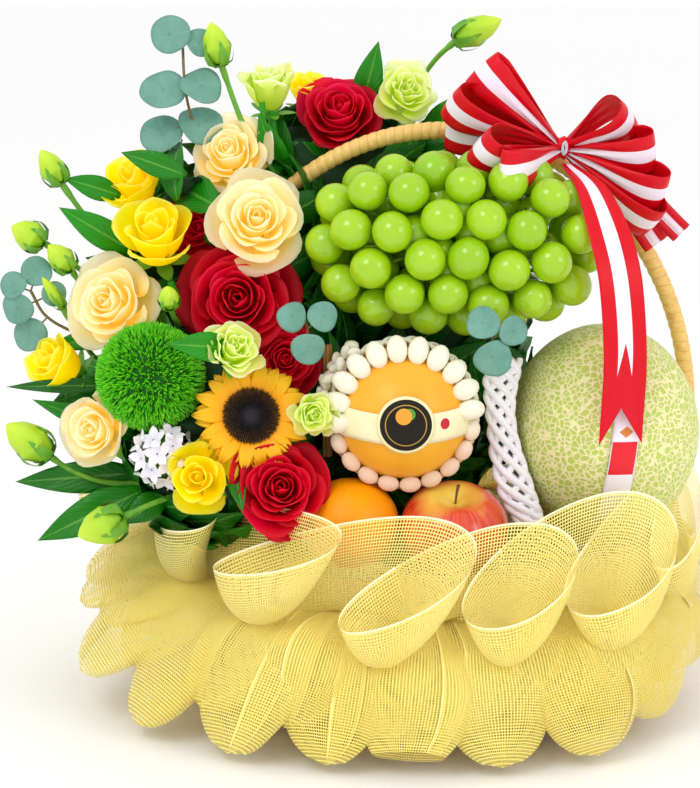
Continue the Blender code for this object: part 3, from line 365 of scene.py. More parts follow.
coated(tree, shader, painted_gap_shade, relief)
cane_handle.data.materials.append(handle_cane)
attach(cane_handle, "root")
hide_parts("handle")

# ---------------------------------------------------------------- straw
# Shredded straw, cut in thin flat curls and heaped to just under the rim as a bed for the fruit.
BED_Z = 0.114
CURLS = 1500


def copies(name, model, matrices, shades=None):
    """One piece with a copy of the model's mesh at each matrix. shades gives each copy its own tone."""
    source = model.data
    points, corners, faces = len(source.vertices), len(source.loops), len(source.polygons)
    co = np.empty(3 * points)
    source.vertices.foreach_get("co", co)
    corner = np.empty(corners, np.int32)
    source.loops.foreach_get("vertex_index", corner)
    start = np.empty(faces, np.int32)
    source.polygons.foreach_get("loop_start", start)
    uv = np.empty(2 * corners)
    source.uv_layers.active.data.foreach_get("uv", uv)
    count = len(matrices)
    grid = np.array(matrices, dtype=float).reshape(count, 4, 4)
    at = np.einsum("cij,nj->cni", grid[:, :3, :3], co.reshape(-1, 3)) + grid[:, None, :3, 3]
    step = np.arange(count)[:, None]
    mesh = bpy.data.meshes.new(name)
    mesh.vertices.add(count * points)
    mesh.vertices.foreach_set("co", at.ravel())
    mesh.loops.add(count * corners)
    mesh.loops.foreach_set("vertex_index", (corner[None] + points * step).ravel().astype(np.int32))
    mesh.polygons.add(count * faces)
    mesh.polygons.foreach_set("loop_start", (start[None] + corners * step).ravel().astype(np.int32))
    mesh.update(calc_edges=True)
    mesh.uv_layers.new(name="UVMap").data.foreach_set("uv", np.tile(uv, count))
    tone = mesh.attributes.new("tone", "FLOAT", "POINT")
    tone.data.foreach_set("value", np.repeat(np.zeros(count) if shades is None else np.array(shades), points))
    mesh.shade_smooth()
    bpy.data.objects.remove(model, do_unlink=True)
    made = bpy.data.objects.new(name, mesh)
    bpy.context.scene.collection.objects.link(made)
    return made


rng = np.random.default_rng(3)
curl = sheet_of(1, 9, lambda u, v: (0.0013 * (u - 0.5), 0.034 * (v - 0.5),
                                    0.0055 * np.sin(math.pi * v) + 0.002 * np.sin(5 * v)))
spots, tones = [], []
for _ in range(CURLS):
    turn, far = rng.uniform(0, 2 * math.pi), math.sqrt(rng.uniform(0, 1))
    spot = Vector(((RIM[0] - 0.016) * far * math.cos(turn), (RIM[1] - 0.016) * far * math.sin(turn),
                   BED_Z - 0.003 + 0.005 * rng.uniform() * (1 - 0.4 * far)))
    heading = turn + math.pi / 2 + rng.normal(0, 0.5) if far > 0.85 else rng.uniform(0, 2 * math.pi)
    spots.append(Matrix.Translation(spot) @ Matrix.Rotation(heading - math.pi / 2, 4, "Z")
                 @ Matrix.Rotation(rng.normal(0, 0.5), 4, "Y") @ Matrix.Rotation(rng.normal(0, 0.14), 4, "X")
                 @ Matrix.Scale(rng.uniform(0.6, 1.0), 4))
    tones.append(rng.uniform())
curls = copies("straw_curls", curl, spots, tones)
under = sheet_of(48, 10, lambda u, v: (
    (RIM[0] - 0.011) * (0.01 + 0.99 * v) * np.cos(2 * math.pi * u),
    (RIM[1] - 0.011) * (0.01 + 0.99 * v) * np.sin(2 * math.pi * u),
    BED_Z - 0.004 + 0.002 * np.sin(40 * v + 9 * np.sin(2 * math.pi * u))))
straw_filling = joined("straw_filling", [curls, welded(under)])
shredded_straw, tree, shader = new_finish("shredded_straw", {"Roughness": 0.65})
own = add(tree, "ShaderNodeAttribute", {"attribute_name": "tone"})
tone = blend(tree, own.outputs["Fac"], "8E7638", "E3CF8E")
coated(tree, shader, tone)
straw_filling.data.materials.append(shredded_straw)
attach(straw_filling, "root")
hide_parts("straw_bed")

# ---------------------------------------------------------------- pear
# A round russet pear, its skin a deep golden orange with pale freckles and a low hollow at each end.
PEAR = Vector((-0.030, -0.085, 0.228))
PEAR_R = 0.0495


def ball(at, radius, tall, rings, top, foot, hollow=0.3):
    """A fruit shaped from a sphere: half height tall, with hollows of depth top and foot at its ends."""
    bpy.ops.mesh.primitive_uv_sphere_add(segments=2 * rings, ring_count=rings, radius=1.0)
    fruit = bpy.context.object
    co = np.empty(3 * len(fruit.data.vertices))
    fruit.data.vertices.foreach_get("co", co)
    co = co.reshape(-1, 3)
    far = np.hypot(co[:, 0], co[:, 1])
    near = np.exp(-((far / hollow) ** 2))
    z = tall * co[:, 2] - near * np.where(co[:, 2] > 0, top, -foot)
    co = np.stack([at[0] + radius * co[:, 0], at[1] + radius * co[:, 1], at[2] + z], 1)
    fruit.data.vertices.foreach_set("co", co.ravel())
    fruit.data.shade_smooth()
    return fruit


pear_fruit = ball(PEAR, PEAR_R, PEAR_R * 0.97, 48, 0.004, 0.003)
pear_fruit.name = pear_fruit.data.name = "pear_fruit"
pear_skin, tree, shader = new_finish("freckled_pear_skin", {
    "Roughness": 0.42, "Specular IOR Level": 0.4, "Subsurface Weight": 0.12,
    "Subsurface Radius": (0.01, 0.004, 0.001)})
place = add(tree, "ShaderNodeTexCoord")
broad = mottling(tree, place.outputs["Object"], 22.0, 3.0)
tone = blend(tree, broad.outputs["Fac"], "EE9810", "FBC63C")
freckle = add(tree, "ShaderNodeTexVoronoi", {"Scale": 330.0}, {"Vector": place.outputs["Object"]})
dots = ramp(tree, freckle.outputs["Distance"], 0.06, 0.22, 0.35, 0.0)
skin = blend(tree, dots.outputs["Result"], tone.outputs[2], "FBE08A")
relief = raised(tree, freckle.outputs["Distance"], 0.12, 0.0003)
coated(tree, shader, skin, relief)
pear_fruit.data.materials.append(pear_skin)
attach(pear_fruit, "root")
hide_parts("pear")

# ---------------------------------------------------------------- band and sticker on the pear
# A strip of cream paper round the pear's middle, with a red dot, and on its front a round sticker: a
# dark disc inside a cream edge, with a gold ring and an orange and a green field. Neither has words.
BAND_HALF = 0.0105


def band(u, v):
    turn = 2 * math.pi * v
    rise = (2 * u - 1) * BAND_HALF
    sag = -0.0022 * np.cos(turn + math.pi / 2) ** 4
    out = np.sqrt(PEAR_R ** 2 - rise ** 2) + 0.0014
    return PEAR[0] + out * np.cos(turn), PEAR[1] + out * np.sin(turn), PEAR[2] + rise + sag


paper_band = welded(sheet_of(6, 96, band))
thickened(paper_band, 0.0004)
paper_band.name = paper_band.data.name = "paper_band"
cream_paper, tree, shader = new_finish("cream_paper", {"Roughness": 0.6})
place = add(tree, "ShaderNodeTexCoord")
fibre = mottling(tree, place.outputs["Object"], 240.0, 4.0)
tone = blend(tree, fibre.outputs["Fac"], "F1E7B4", "FAF3CC")
coated(tree, shader, tone)
paper_band.data.materials.append(cream_paper)
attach(paper_band, "root")
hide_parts("pear_band")


def facing(at, face, spin=0.0):
    """A frame at a point with its +Z along face, turned by spin about it."""
    turn = Vector(face).normalized().to_track_quat("Z", "Y").to_matrix().to_4x4()
    return Matrix.Translation(Vector(at)) @ turn @ Matrix.Rotation(spin, 4, "Z")


def moved(piece, matrix):
    """Bakes a place into a piece's mesh, with the object left at the origin."""
    piece.data.transform(matrix)
    return piece


STICKER_R = 0.0202
lift = PEAR_R + 0.0030


def disc(u, v):
    turn = 2 * math.pi * u
    far = STICKER_R * (0.01 + 0.99 * v)
    return far * np.cos(turn), far * np.sin(turn), np.sqrt(lift ** 2 - far ** 2)


round_sticker = moved(welded(sheet_of(64, 12, disc)), facing(PEAR, (0.02, -0.99, 0.03)))
thickened(round_sticker, 0.0003)
round_sticker.name = round_sticker.data.name = "round_sticker"


def print_spot(tree, ground, at, radius, colour):
    """A round printed field of one colour over the ground colour, at a point of the paper."""
    place = add(tree, "ShaderNodeTexCoord")
    far = add(tree, "ShaderNodeVectorMath", {"operation": "DISTANCE", 1: at}, {0: place.outputs["Object"]})
    field = ramp(tree, far.outputs["Value"], radius - 0.0002, radius, 1.0, 0.0)
    return blend(tree, field.outputs["Result"], ground.outputs[2], colour)


printed_paper, tree, shader = new_finish("printed_sticker_paper",
                                         {"Roughness": 0.5, "Specular IOR Level": 0.2})
place = add(tree, "ShaderNodeTexCoord")
split = axes_of(tree, place.outputs["UV"])
inside = ramp(tree, split.outputs["Y"], 0.885, 0.900)
ring_low = reckoned(tree, "SUBTRACT", split.outputs["Y"], 0.70)
ring_far = reckoned(tree, "ABSOLUTE", ring_low.outputs[0])
ring = ramp(tree, ring_far.outputs[0], 0.012, 0.024, 0.8, 0.0)
disc_tone = blend(tree, ring.outputs["Result"], "1E1812", "C9A24A")
tone = blend(tree, inside.outputs["Result"], disc_tone.outputs[2], "F4E9B8")
tone = print_spot(tree, tone, PEAR + Vector((0.0035, -lift * 0.988, 0.0095)), 0.0042, "5C9A3C")
tone = print_spot(tree, tone, PEAR + Vector((-0.0005, -lift * 0.990, 0.0080)), 0.0058, "F0A038")
coated(tree, shader, tone)
tree = cream_paper.node_tree
ground = next(node for node in tree.nodes if node.bl_idname == "ShaderNodeMix")
red_dot = print_spot(tree, ground, PEAR + Vector((0.0290, -0.0430, 0.0010)), 0.0042, "C8102A")
tree.links.new(red_dot.outputs[2], tree.nodes["Principled BSDF"].inputs["Base Color"])
round_sticker.data.materials.append(printed_paper)
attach(round_sticker, "root")
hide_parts("pear_sticker")

# ---------------------------------------------------------------- foam net of the pear
# A cup of soft white foam cord behind the pear. Its strands cross in diamonds, and at the front rim
# they end in fat oval beads that lie against the fruit.
NET_AXIS = (0.0, -0.97, 0.10)
BEADS = 20
net_frame = facing(PEAR, NET_AXIS)


def tube(path, radius, sides=8, closed=False):
    """A round cord along a path of points; radius is one number or one for each point."""
    path = np.array([tuple(p) for p in path])
    radii = np.broadcast_to(np.array(radius, float), (len(path),))
    ahead = np.roll(path, -1, 0) - np.roll(path, 1, 0)
    if not closed:
        ahead[0], ahead[-1] = path[1] - path[0], path[-1] - path[-2]
    ahead /= np.linalg.norm(ahead, axis=1)[:, None]
    side = np.cross(ahead, (0.31, 0.17, 0.93))
    side /= np.linalg.norm(side, axis=1)[:, None]
    up = np.cross(ahead, side)

    def shape(u, v):
        k = np.rint(v * (len(path) - (0 if closed else 1))).astype(int) % len(path)
        a = 2 * math.pi * u
        ring = path[k] + radii[k, None] * (np.cos(a)[:, None] * side[k] + np.sin(a)[:, None] * up[k])
        return ring[:, 0], ring[:, 1], ring[:, 2]
    return welded(sheet_of(sides, len(path) - (0 if closed else 1), shape), 1e-6)


def bead(length, radius):
    """An oval foam bead, longest along its X, to be copied round a net."""
    bpy.ops.mesh.primitive_uv_sphere_add(segments=16, ring_count=10, radius=1.0)
    made = bpy.context.object
    for vert in made.data.vertices:
        vert.co.x *= length / 2
        vert.co.y *= radius
        vert.co.z *= radius * 0.85
    return made


upper_spots, lower_spots = [], []
for k in range(BEADS):
    turn = 2 * math.pi * k / BEADS + 0.1
    upper = math.sin(turn) > -0.15
    polar = math.radians(60 if upper else 68)
    rise = PEAR_R + (0.0050 if upper else 0.0036)
    spot = on_globe(rise, polar, turn)
    aim = Matrix.Rotation(turn + (0 if upper else math.pi / 2), 4, "Z")
    lean = Matrix.Rotation(math.radians(14 if upper else 0), 4, "Y")
    (upper_spots if upper else lower_spots).append(net_frame @ Matrix.Translation(spot) @ aim @ lean)
rim_beads = joined("rim_beads", [copies("upper_beads", bead(0.0205, 0.0073), upper_spots),
                                 copies("lower_beads", bead(0.0155, 0.0058), lower_spots)])
strands = []
for k in range(BEADS):
    for way in (-1, 1):
        path = []
        for step in range(25):
            share = step / 24
            polar = math.radians(66 + 60 * share)
            turn = 2 * math.pi * k / BEADS + 0.1 + way * 0.55 * math.pi * share / 3
            rise = PEAR_R + 0.0032 + 0.0006 * way * math.cos(9 * share)
            path.append(net_frame @ on_globe(rise, polar, turn))
        strands.append(tube(path, 0.0016, 6))
flare = []
for k in range(26):
    turn = math.radians(128 + 13 * (k % 5) + 5 * (k // 5 % 2))
    polar = math.radians(74 + 7 * (k // 5))
    rise = PEAR_R + 0.0085 + 0.0012 * (k % 3)
    spot = on_globe(rise, polar, turn)
    flare.append(net_frame @ Matrix.Translation(spot) @ Matrix.Rotation(turn + 0.9 * (-1) ** k, 4, "Z"))
net_flare = copies("net_flare", bead(0.0105, 0.0034), flare)
foam_cup = joined("foam_cup", [rim_beads, net_flare, *strands])
white_foam, tree, shader = new_finish("soft_foam_cord", {
    "Roughness": 0.75, "Subsurface Weight": 0.3, "Subsurface Radius": (0.004, 0.003, 0.002)})
place = add(tree, "ShaderNodeTexCoord")
cells = mottling(tree, place.outputs["Object"], 700.0, 2.0)
height = axes_of(tree, place.outputs["Object"])
# Painted light and shade: the foam is painted pale high up and a darker, warmer beige low down, under the
# pear.
painted_light_by_height = ramp(tree, height.outputs["Z"], 0.205, 0.235)
tone = blend(tree, painted_light_by_height.outputs["Result"], "EACCB2", "F2EEDA")
relief = raised(tree, cells.outputs["Fac"], 0.25, 0.0004)
coated(tree, shader, tone, relief)
foam_cup.data.materials.append(white_foam)
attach(foam_cup, "root")
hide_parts("pear_foam_net")

# ---------------------------------------------------------------- foam sleeve
# The end of a second foam net, bunched between the pear and the melon: a flattened sleeve whose
# cords cross and fuse into rows of open diamonds.
SLEEVE_LINE = ((0.043, -0.064, 0.262), (0.040, -0.072, 0.236), (0.043, -0.078, 0.204), (0.052, -0.087, 0.170),
               (0.062, -0.092, 0.148))


def smooth_path(points, steps):
    """A Catmull-Rom curve through the points, with steps points for each span."""
    p = [Vector(q) for q in points]
    p = [2 * p[0] - p[1], *p, 2 * p[-1] - p[-2]]
    made = []
    for a, b, c, d in zip(p, p[1:], p[2:], p[3:]):
        for k in range(steps):
            t = k / steps
            made.append(0.5 * (2 * b + (c - a) * t + (2 * a - 5 * b + 4 * c - d) * t * t
                               + (3 * b - a - 3 * c + d) * t ** 3))
    made.append(p[-2])
    return made


line = smooth_path(SLEEVE_LINE, 26)
cords = []
for k in range(5):
    for way in (-1, 1):
        path = []
        for step, point in enumerate(line):
            share = step / (len(line) - 1)
            a = 2 * math.pi * (k / 5 + way * 2.0 * share)
            slack = 1 + 0.15 * math.sin(9 * share + 1.3)
            path.append(point + Vector((0.0098 * slack * math.cos(a), 0.0042 * math.sin(a) - 0.0005 * way,
                                        0)))
        cords.append(tube(path, [0.0025 + 0.0006 * math.sin(5 * 2 * math.pi * s / len(line)) ** 2
                                 for s in range(len(line))], 8))
sleeve_net = joined("sleeve_net", cords)
sleeve_net.data.materials.append(white_foam.copy())
sleeve_net.data.materials[0].name = "white_foam_cord"
# The copy keeps the painted light and shade by height, with its lower colour only a little darker.
for node in sleeve_net.data.materials[0].node_tree.nodes:
    if node.bl_idname == "ShaderNodeMix":
        node.inputs[6].default_value = linear("F2F0F6")
        node.inputs[7].default_value = linear("FBFAFE")
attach(sleeve_net, "root")
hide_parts("foam_sleeve")

# ---------------------------------------------------------------- melon
# A netted melon: a firm green rind under a raised web of pale cork, which closes into small cells.
MELON = Vector((0.118, -0.036, 0.203))
MELON_R = 0.0700
MELON_TALL = 0.0790

bpy.ops.mesh.primitive_ico_sphere_add(subdivisions=6, radius=1.0)
melon_fruit = bpy.context.object
melon_fruit.name = melon_fruit.data.name = "melon_fruit"
for vert in melon_fruit.data.vertices:
    lumps = 1 + 0.006 * noise.noise(vert.co * 2.5)
    vert.co = MELON + Vector((vert.co.x * MELON_R, vert.co.y * MELON_R, vert.co.z * MELON_TALL)) * lumps
melon_fruit.data.shade_smooth()
netted_rind, tree, shader = new_finish("netted_melon_rind", {"Roughness": 0.6, "Specular IOR Level": 0.3})
place = add(tree, "ShaderNodeTexCoord")
wander = mottling(tree, place.outputs["Object"], 90.0, 2.0)
shift = add(tree, "ShaderNodeVectorMath", {"operation": "SCALE", "Scale": 0.006},
            {0: wander.outputs["Color"]})
bent = add(tree, "ShaderNodeVectorMath", {"operation": "ADD"},
           {0: place.outputs["Object"], 1: shift.outputs["Vector"]})
web = add(tree, "ShaderNodeTexVoronoi", {"feature": "DISTANCE_TO_EDGE", "Scale": 235.0},
          {"Vector": bent.outputs["Vector"]})
cork = ramp(tree, web.outputs["Distance"], 0.08, 0.15, 1.0, 0.0)
broad = mottling(tree, place.outputs["Object"], 16.0, 3.0)
rind = blend(tree, broad.outputs["Fac"], "B2C856", "C8D46E")
tone = blend(tree, cork.outputs["Result"], rind.outputs[2], "EFE8B0")
relief = raised(tree, cork.outputs["Result"], 0.6, 0.0006)
coated(tree, shader, tone, relief)
melon_fruit.data.materials.append(netted_rind)
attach(melon_fruit, "root")
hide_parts("melon")

# ---------------------------------------------------------------- label on the melon
# A narrow strip of white paper pasted down the melon's front, printed with a plain red square and a
# golden brown diamond, and no words.
LABEL_HALF = 0.0095


def label(u, v):
    north = np.radians(24 - 66 * v)
    east = math.radians(9) - math.radians(9) * v + (2 * u - 1) * LABEL_HALF / (MELON_R * np.cos(north))
    r = (MELON_R + 0.0016) * np.cos(north)
    return MELON[0] + r * np.sin(east), MELON[1] - r * np.cos(east), MELON[2] + (MELON_TALL
                                                                                 + 0.0016) * np.sin(north)


paper_label = sheet_of(8, 40, label)
thickened(paper_label, 0.0003, offset=1.0)
paper_label.name = paper_label.data.name = "paper_label"
label_paper, tree, shader = new_finish("glossy_label_paper", {"Roughness": 0.35})
place = add(tree, "ShaderNodeTexCoord")
split = axes_of(tree, place.outputs["UV"])
tone = None
for centre, half, colour in (((0.5, 0.405), (0.46, 0.13), "E4001A"), ((0.5, 0.20), (0.26, 0.045), "D9822B")):
    aside = reckoned(tree, "SUBTRACT", split.outputs["X"], centre[0])
    along = reckoned(tree, "SUBTRACT", split.outputs["Y"], centre[1])
    far_x = reckoned(tree, "ABSOLUTE", aside.outputs[0])
    far_y = reckoned(tree, "ABSOLUTE", along.outputs[0])
    share_x = reckoned(tree, "DIVIDE", far_x.outputs[0], half[0])
    share_y = reckoned(tree, "DIVIDE", far_y.outputs[0], half[1])
    how = "MAXIMUM" if colour == "E4001A" else "ADD"
    both = reckoned(tree, how, share_x.outputs[0], share_y.outputs[0])
    print_ = reckoned(tree, "LESS_THAN", both.outputs[0], 1.0)
    mixed = blend(tree, print_.outputs[0], "F2ECF4", colour)
    if tone:
        tree.links.new(tone.outputs[2], mixed.inputs[6])
    tone = mixed
coated(tree, shader, tone)
paper_label.data.materials.append(label_paper)
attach(paper_label, "root")
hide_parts("melon_label")

# ---------------------------------------------------------------- orange
# An orange with a thin glossy rind full of fine oil dimples.
ORANGE = Vector((-0.067, -0.102, 0.150))
ORANGE_R = 0.0345
orange_fruit = ball(ORANGE, ORANGE_R, ORANGE_R * 0.97, 44, 0.001, 0.001)
orange_fruit.name = orange_fruit.data.name = "orange_fruit"
orange_rind, tree, shader = new_finish("orange_rind", {
    "Roughness": 0.38, "Specular IOR Level": 0.25, "Subsurface Weight": 0.1,
    "Subsurface Radius": (0.01, 0.004, 0.001)})
place = add(tree, "ShaderNodeTexCoord")
pores = add(tree, "ShaderNodeTexVoronoi", {"Scale": 620.0}, {"Vector": place.outputs["Object"]})
broad = mottling(tree, place.outputs["Object"], 30.0, 2.0)
tone = blend(tree, broad.outputs["Fac"], "FF8C00", "FFAC00")
relief = raised(tree, pores.outputs["Distance"], 0.35, 0.0005)
coated(tree, shader, tone, relief)
orange_fruit.data.materials.append(orange_rind)
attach(orange_fruit, "root")
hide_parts("orange")

# ---------------------------------------------------------------- apple
# An apple with shiny skin: yellow round its stem hollow, flushed and streaked red down its sides.
APPLE = Vector((0.006, -0.108, 0.148))
APPLE_R = 0.0380
APPLE_FACE = (0.0, -0.30, 0.95)
body = ball((0, 0, 0), APPLE_R, APPLE_R * 0.88, 48, 0.012, 0.007, 0.36)
for vert in body.data.vertices:
    turn = math.atan2(vert.co.y, vert.co.x)
    swell = 1 + 0.06 * vert.co.z / APPLE_R + 0.012 * math.cos(5 * turn)
    vert.co.x *= swell
    vert.co.y *= swell
stalk = tube([(0, 0, 0.014), (0.0006, 0, 0.022), (0.0014, 0.0006, 0.030), (0.0024, 0.0012, 0.036)],
             [0.0009, 0.0008, 0.0009, 0.0013], 8)
apple_frame = facing(APPLE, APPLE_FACE)
moved(body, apple_frame)
moved(stalk, apple_frame)
apple_skin, tree, shader = new_finish("streaked_apple_skin", {
    "Roughness": 0.24, "Specular IOR Level": 0.5, "Coat Weight": 0.3, "Coat Roughness": 0.15})
place = add(tree, "ShaderNodeTexCoord")
spun = add(tree, "ShaderNodeMapping", {"Scale": (95.0, 2.4, 1.0)}, {"Vector": place.outputs["UV"]})
streak = add(tree, "ShaderNodeTexNoise", {"Scale": 1.0, "Detail": 4.0, "Roughness": 0.6},
             {"Vector": spun.outputs["Vector"]})
split = axes_of(tree, place.outputs["UV"])
broad = mottling(tree, place.outputs["Object"], 26.0, 2.0)
height = add(tree, "ShaderNodeMath", {"operation": "MULTIPLY_ADD", 1: 0.55, 2: -0.20},
             {0: broad.outputs["Fac"]})
level = reckoned(tree, "ADD", split.outputs["Y"], height.outputs[0])
crown = ramp(tree, level.outputs[0], 0.80, 1.02, 0.0, 1.0)
fine = ramp(tree, streak.outputs["Fac"], 0.42, 0.70, 0.0, 0.55)
red = blend(tree, fine.outputs["Result"], "D8281C", "F08A3C")
tone = blend(tree, crown.outputs["Result"], red.outputs[2], "F4CE52")
coated(tree, shader, tone)
body.data.materials.append(apple_skin)
stalk_wood, tree, shader = new_finish("apple_stalk_wood", {"Roughness": 0.8})
place = add(tree, "ShaderNodeTexCoord")
fibre = mottling(tree, place.outputs["Object"], 900.0, 2.0)
tone = blend(tree, fibre.outputs["Fac"], "4A2E18", "8A6236")
coated(tree, shader, tone)
stalk.data.materials.append(stalk_wood)
apple_fruit = joined("apple_fruit", [body, stalk])
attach(apple_fruit, "root")
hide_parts("apple")

# ---------------------------------------------------------------- grapes
# A full bunch of large round green grapes with taut, glossy, slightly clear skins, held by thin
# green stalks inside the bunch.
BUNCH = np.array((0.008, -0.052, 0.345))
BUNCH_HALF = np.array((0.094, 0.042, 0.052))
BERRY_R = 0.0143
BERRIES = 62

rng = np.random.default_rng(7)
k = np.arange(BERRIES) + 0.5
x = 1 - 2 * k / BERRIES
turn = math.pi * (1 + 5 ** 0.5) * k
r = np.sqrt(1 - x * x)
unit = np.stack([x, r * np.cos(turn), r * np.sin(turn)], 1) + rng.normal(0, 0.05, (BERRIES, 3))
for _ in range(60):
    unit = unit / ((np.abs(unit) ** 2.6).sum(1) ** (1 / 2.6))[:, None]
    spots = unit * BUNCH_HALF
    away = spots[:, None] - spots[None]
    far = np.linalg.norm(away, axis=2) + np.eye(BERRIES)
    push = np.clip(2.12 * BERRY_R - far, 0, None) / far
    np.fill_diagonal(push, 0)
    unit = unit + (away * push[..., None]).sum(1) * 0.4 / BUNCH_HALF
centres = unit / ((np.abs(unit) ** 2.6).sum(1) ** (1 / 2.6))[:, None] * BUNCH_HALF + BUNCH
bpy.ops.mesh.primitive_uv_sphere_add(segments=32, ring_count=20, radius=1.0)
grape = bpy.context.object
spots, tones = [], []
for at in centres:
    size = BERRY_R * rng.uniform(0.97, 1.03)
    tilt = Matrix.Rotation(rng.uniform(0, math.pi), 4, "X") @ Matrix.Rotation(rng.uniform(0, math.pi), 4, "Y")
    spots.append(Matrix.Translation(Vector(at)) @ tilt
                 @ Matrix.Diagonal((size, size, size * rng.uniform(1.0, 1.05), 1)))
    tones.append(rng.uniform())
for k in range(34):
    inner = BUNCH + unit[(2 * k) % BERRIES] * BUNCH_HALF * 0.62 + rng.normal(0, 0.002, 3)
    spots.append(Matrix.Translation(Vector(inner)) @ Matrix.Scale(BERRY_R * 0.95, 4))
    tones.append(0.2)
berries = copies("berries", grape, spots, tones)
stalks = [tube([BUNCH + (at - BUNCH) * 0.2, BUNCH + (at - BUNCH) * 0.75], 0.0014, 6) for at in centres]
core = ball(BUNCH, 0.055, 0.028, 16, 0.0, 0.0)
for vert in core.data.vertices:
    vert.co.y = BUNCH[1] + (vert.co.y - BUNCH[1]) * 0.40
grape_skin, tree, shader = new_finish("green_grape_skin", {
    "Roughness": 0.16, "Specular IOR Level": 0.5, "Subsurface Weight": 0.35, "Subsurface Scale": 0.01,
    "Subsurface Radius": (0.8, 1.0, 0.25), "Coat Weight": 0.25, "Coat Roughness": 0.08})
place = add(tree, "ShaderNodeTexCoord")
own = add(tree, "ShaderNodeAttribute", {"attribute_name": "tone"})
cloud = mottling(tree, place.outputs["Object"], 70.0, 3.0)
base_tone = blend(tree, own.outputs["Fac"], "93C40A", "ACD41C")
veil = ramp(tree, cloud.outputs["Fac"], 0.4, 0.7, to_max=0.35)
tone = blend(tree, veil.outputs["Result"], base_tone.outputs[2], "8DBB12")
coated(tree, shader, tone)
berries.data.materials.append(grape_skin)
stalk_green, tree, shader = new_finish("grape_stalk", {"Roughness": 0.6})
place = add(tree, "ShaderNodeTexCoord")
cloud = add(tree, "ShaderNodeTexNoise", {"Scale": 90.0}, {"Vector": place.outputs["Object"]})
tone = blend(tree, cloud.outputs["Fac"], "4F7A12", "7FA524")
coated(tree, shader, tone)
for part in (core, *stalks):
    part.data.materials.append(stalk_green)
grape_bunch = joined("grape_bunch", [berries, core, *stalks])
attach(grape_bunch, "root")
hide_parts("grapes")

# ---------------------------------------------------------------- roses
# Cut roses in red, peach and yellow. Each head is a spiral of thin petals, furled at the heart and
# rolled back at the lips further out, over a green cup of five sepals.
ROSES = {
    "red_rose_top": ((-0.075, 0.030, 0.430), (0.00, -0.80, 0.60), 0.035, 0.8),
    "red_rose_back": ((-0.176, -0.018, 0.352), (-0.20, -0.93, 0.15), 0.031, 0.9),
    "red_rose_centre": ((-0.147, -0.069, 0.307), (-0.05, -0.96, 0.26), 0.042, 1.0),
    "red_rose_middle": ((-0.1140, -0.072, 0.264), (0.10, -0.95, 0.20), 0.029, 0.9),
    "red_rose_low": ((-0.116, -0.122, 0.182), (0.05, -0.92, 0.35), 0.036, 1.0),
    "peach_rose_top": ((-0.156, -0.006, 0.404), (-0.12, -0.84, 0.50), 0.032, 0.8),
    "peach_rose_middle": ((-0.133, -0.063, 0.362), (0.05, -0.88, 0.46), 0.037, 1.0),
    "peach_rose_left": ((-0.240, -0.055, 0.301), (-0.30, -0.88, 0.38), 0.036, 1.0),
    "peach_rose_low": ((-0.249, -0.085, 0.215), (-0.40, -0.88, 0.22), 0.029, 0.8),
    "yellow_rose_back": ((-0.226, 0.004, 0.382), (-0.30, -0.62, 0.72), 0.029, 0.35),
    "yellow_rose_middle": ((-0.207, -0.045, 0.350), (-0.06, -0.62, 0.78), 0.034, 0.4),
    "yellow_rose_left": ((-0.280, -0.048, 0.258), (-0.70, -0.45, 0.55), 0.026, 0.25),
    "yellow_rose_low": ((-0.174, -0.122, 0.190), (-0.05, -0.94, 0.33), 0.0280, 0.9),
    "yellow_rose_top": ((-0.098, 0.056, 0.446), (0.10, -0.30, 0.95), 0.022, 0.5),
}


def petal(radius, spread, share, turn, draw, frill=0.0):
    """One petal: share is 0 at the heart and 1 outermost, turn its direction round the head."""
    half = math.radians(120 - 64 * share ** 0.6)
    top_out = radius * (0.05 + 0.93 * share ** 1.5) * (0.86 + 0.14 * spread)
    top_z = radius * (0.42 + 0.06 * math.sin(math.pi * share) - (0.08 + 0.40 * spread) * share ** 2.8
                      + draw.uniform(-0.05, 0.05) * (0.4 + share))
    closing = 1 - share
    outs = (0.07 * radius, 0.10 * radius + 0.66 * top_out,
            top_out * (0.97 - 0.10 * share) + 0.10 * closing * radius,
            top_out - 0.03 * closing * radius)
    rises = (-0.55 * radius, -0.50 * radius, top_z - (0.36 - 0.16 * share) * radius, top_z)
    roll = radius * (0.015 + (0.07 + 0.10 * spread) * share ** 1.2)
    phase, lean, wave = draw.uniform(0, 6.28), draw.uniform(-0.09, 0.09) * share, draw.uniform(0.02, 0.06)
    point = 0.26 * share * draw.uniform(0.3, 1.0) * (1 - 12 * frill)
    tuck = draw.choice((-1, 1)) * 0.10 * share

    def shape(u, v):
        side = 2 * u - 1
        up = v * (1 - 0.24 * np.abs(side) ** 2.4 + point * np.exp(-(side / 0.25) ** 2)
                  - 0.03 * np.sin(3 * side + phase))
        a, b, c, d = (1 - up) ** 3, 3 * up * (1 - up) ** 2, 3 * up ** 2 * (1 - up), up ** 3
        out = a * outs[0] + b * outs[1] + c * outs[2] + d * outs[3]
        z = a * rises[0] + b * rises[1] + c * rises[2] + d * rises[3]
        curl = np.clip((up - 0.70) / 0.30, 0, 1.3)
        rolled = roll * (0.40 + 1.4 * np.abs(side) ** 1.4)
        out = out + rolled * np.sin(1.9 * np.minimum(curl, 1.2)) * 1.1 * curl
        z = z - rolled * 0.95 * curl ** 2.2
        ripple = (wave * share + frill) * np.sin((3.2 + 60 * frill) * side + phase) * up ** 3
        out = out + radius * (ripple + tuck * side * up - 0.06 * share * np.abs(side) ** 2 * up)
        z = z + radius * (lean + 0.7 * frill * np.cos(7 * side + phase)) * up ** 2
        turned = turn + side * half * (0.55 + 0.45 * np.sin(0.5 * math.pi * np.minimum(1, 1.4 * up)))
        return out * np.cos(turned), out * np.sin(turned), z
    return shape


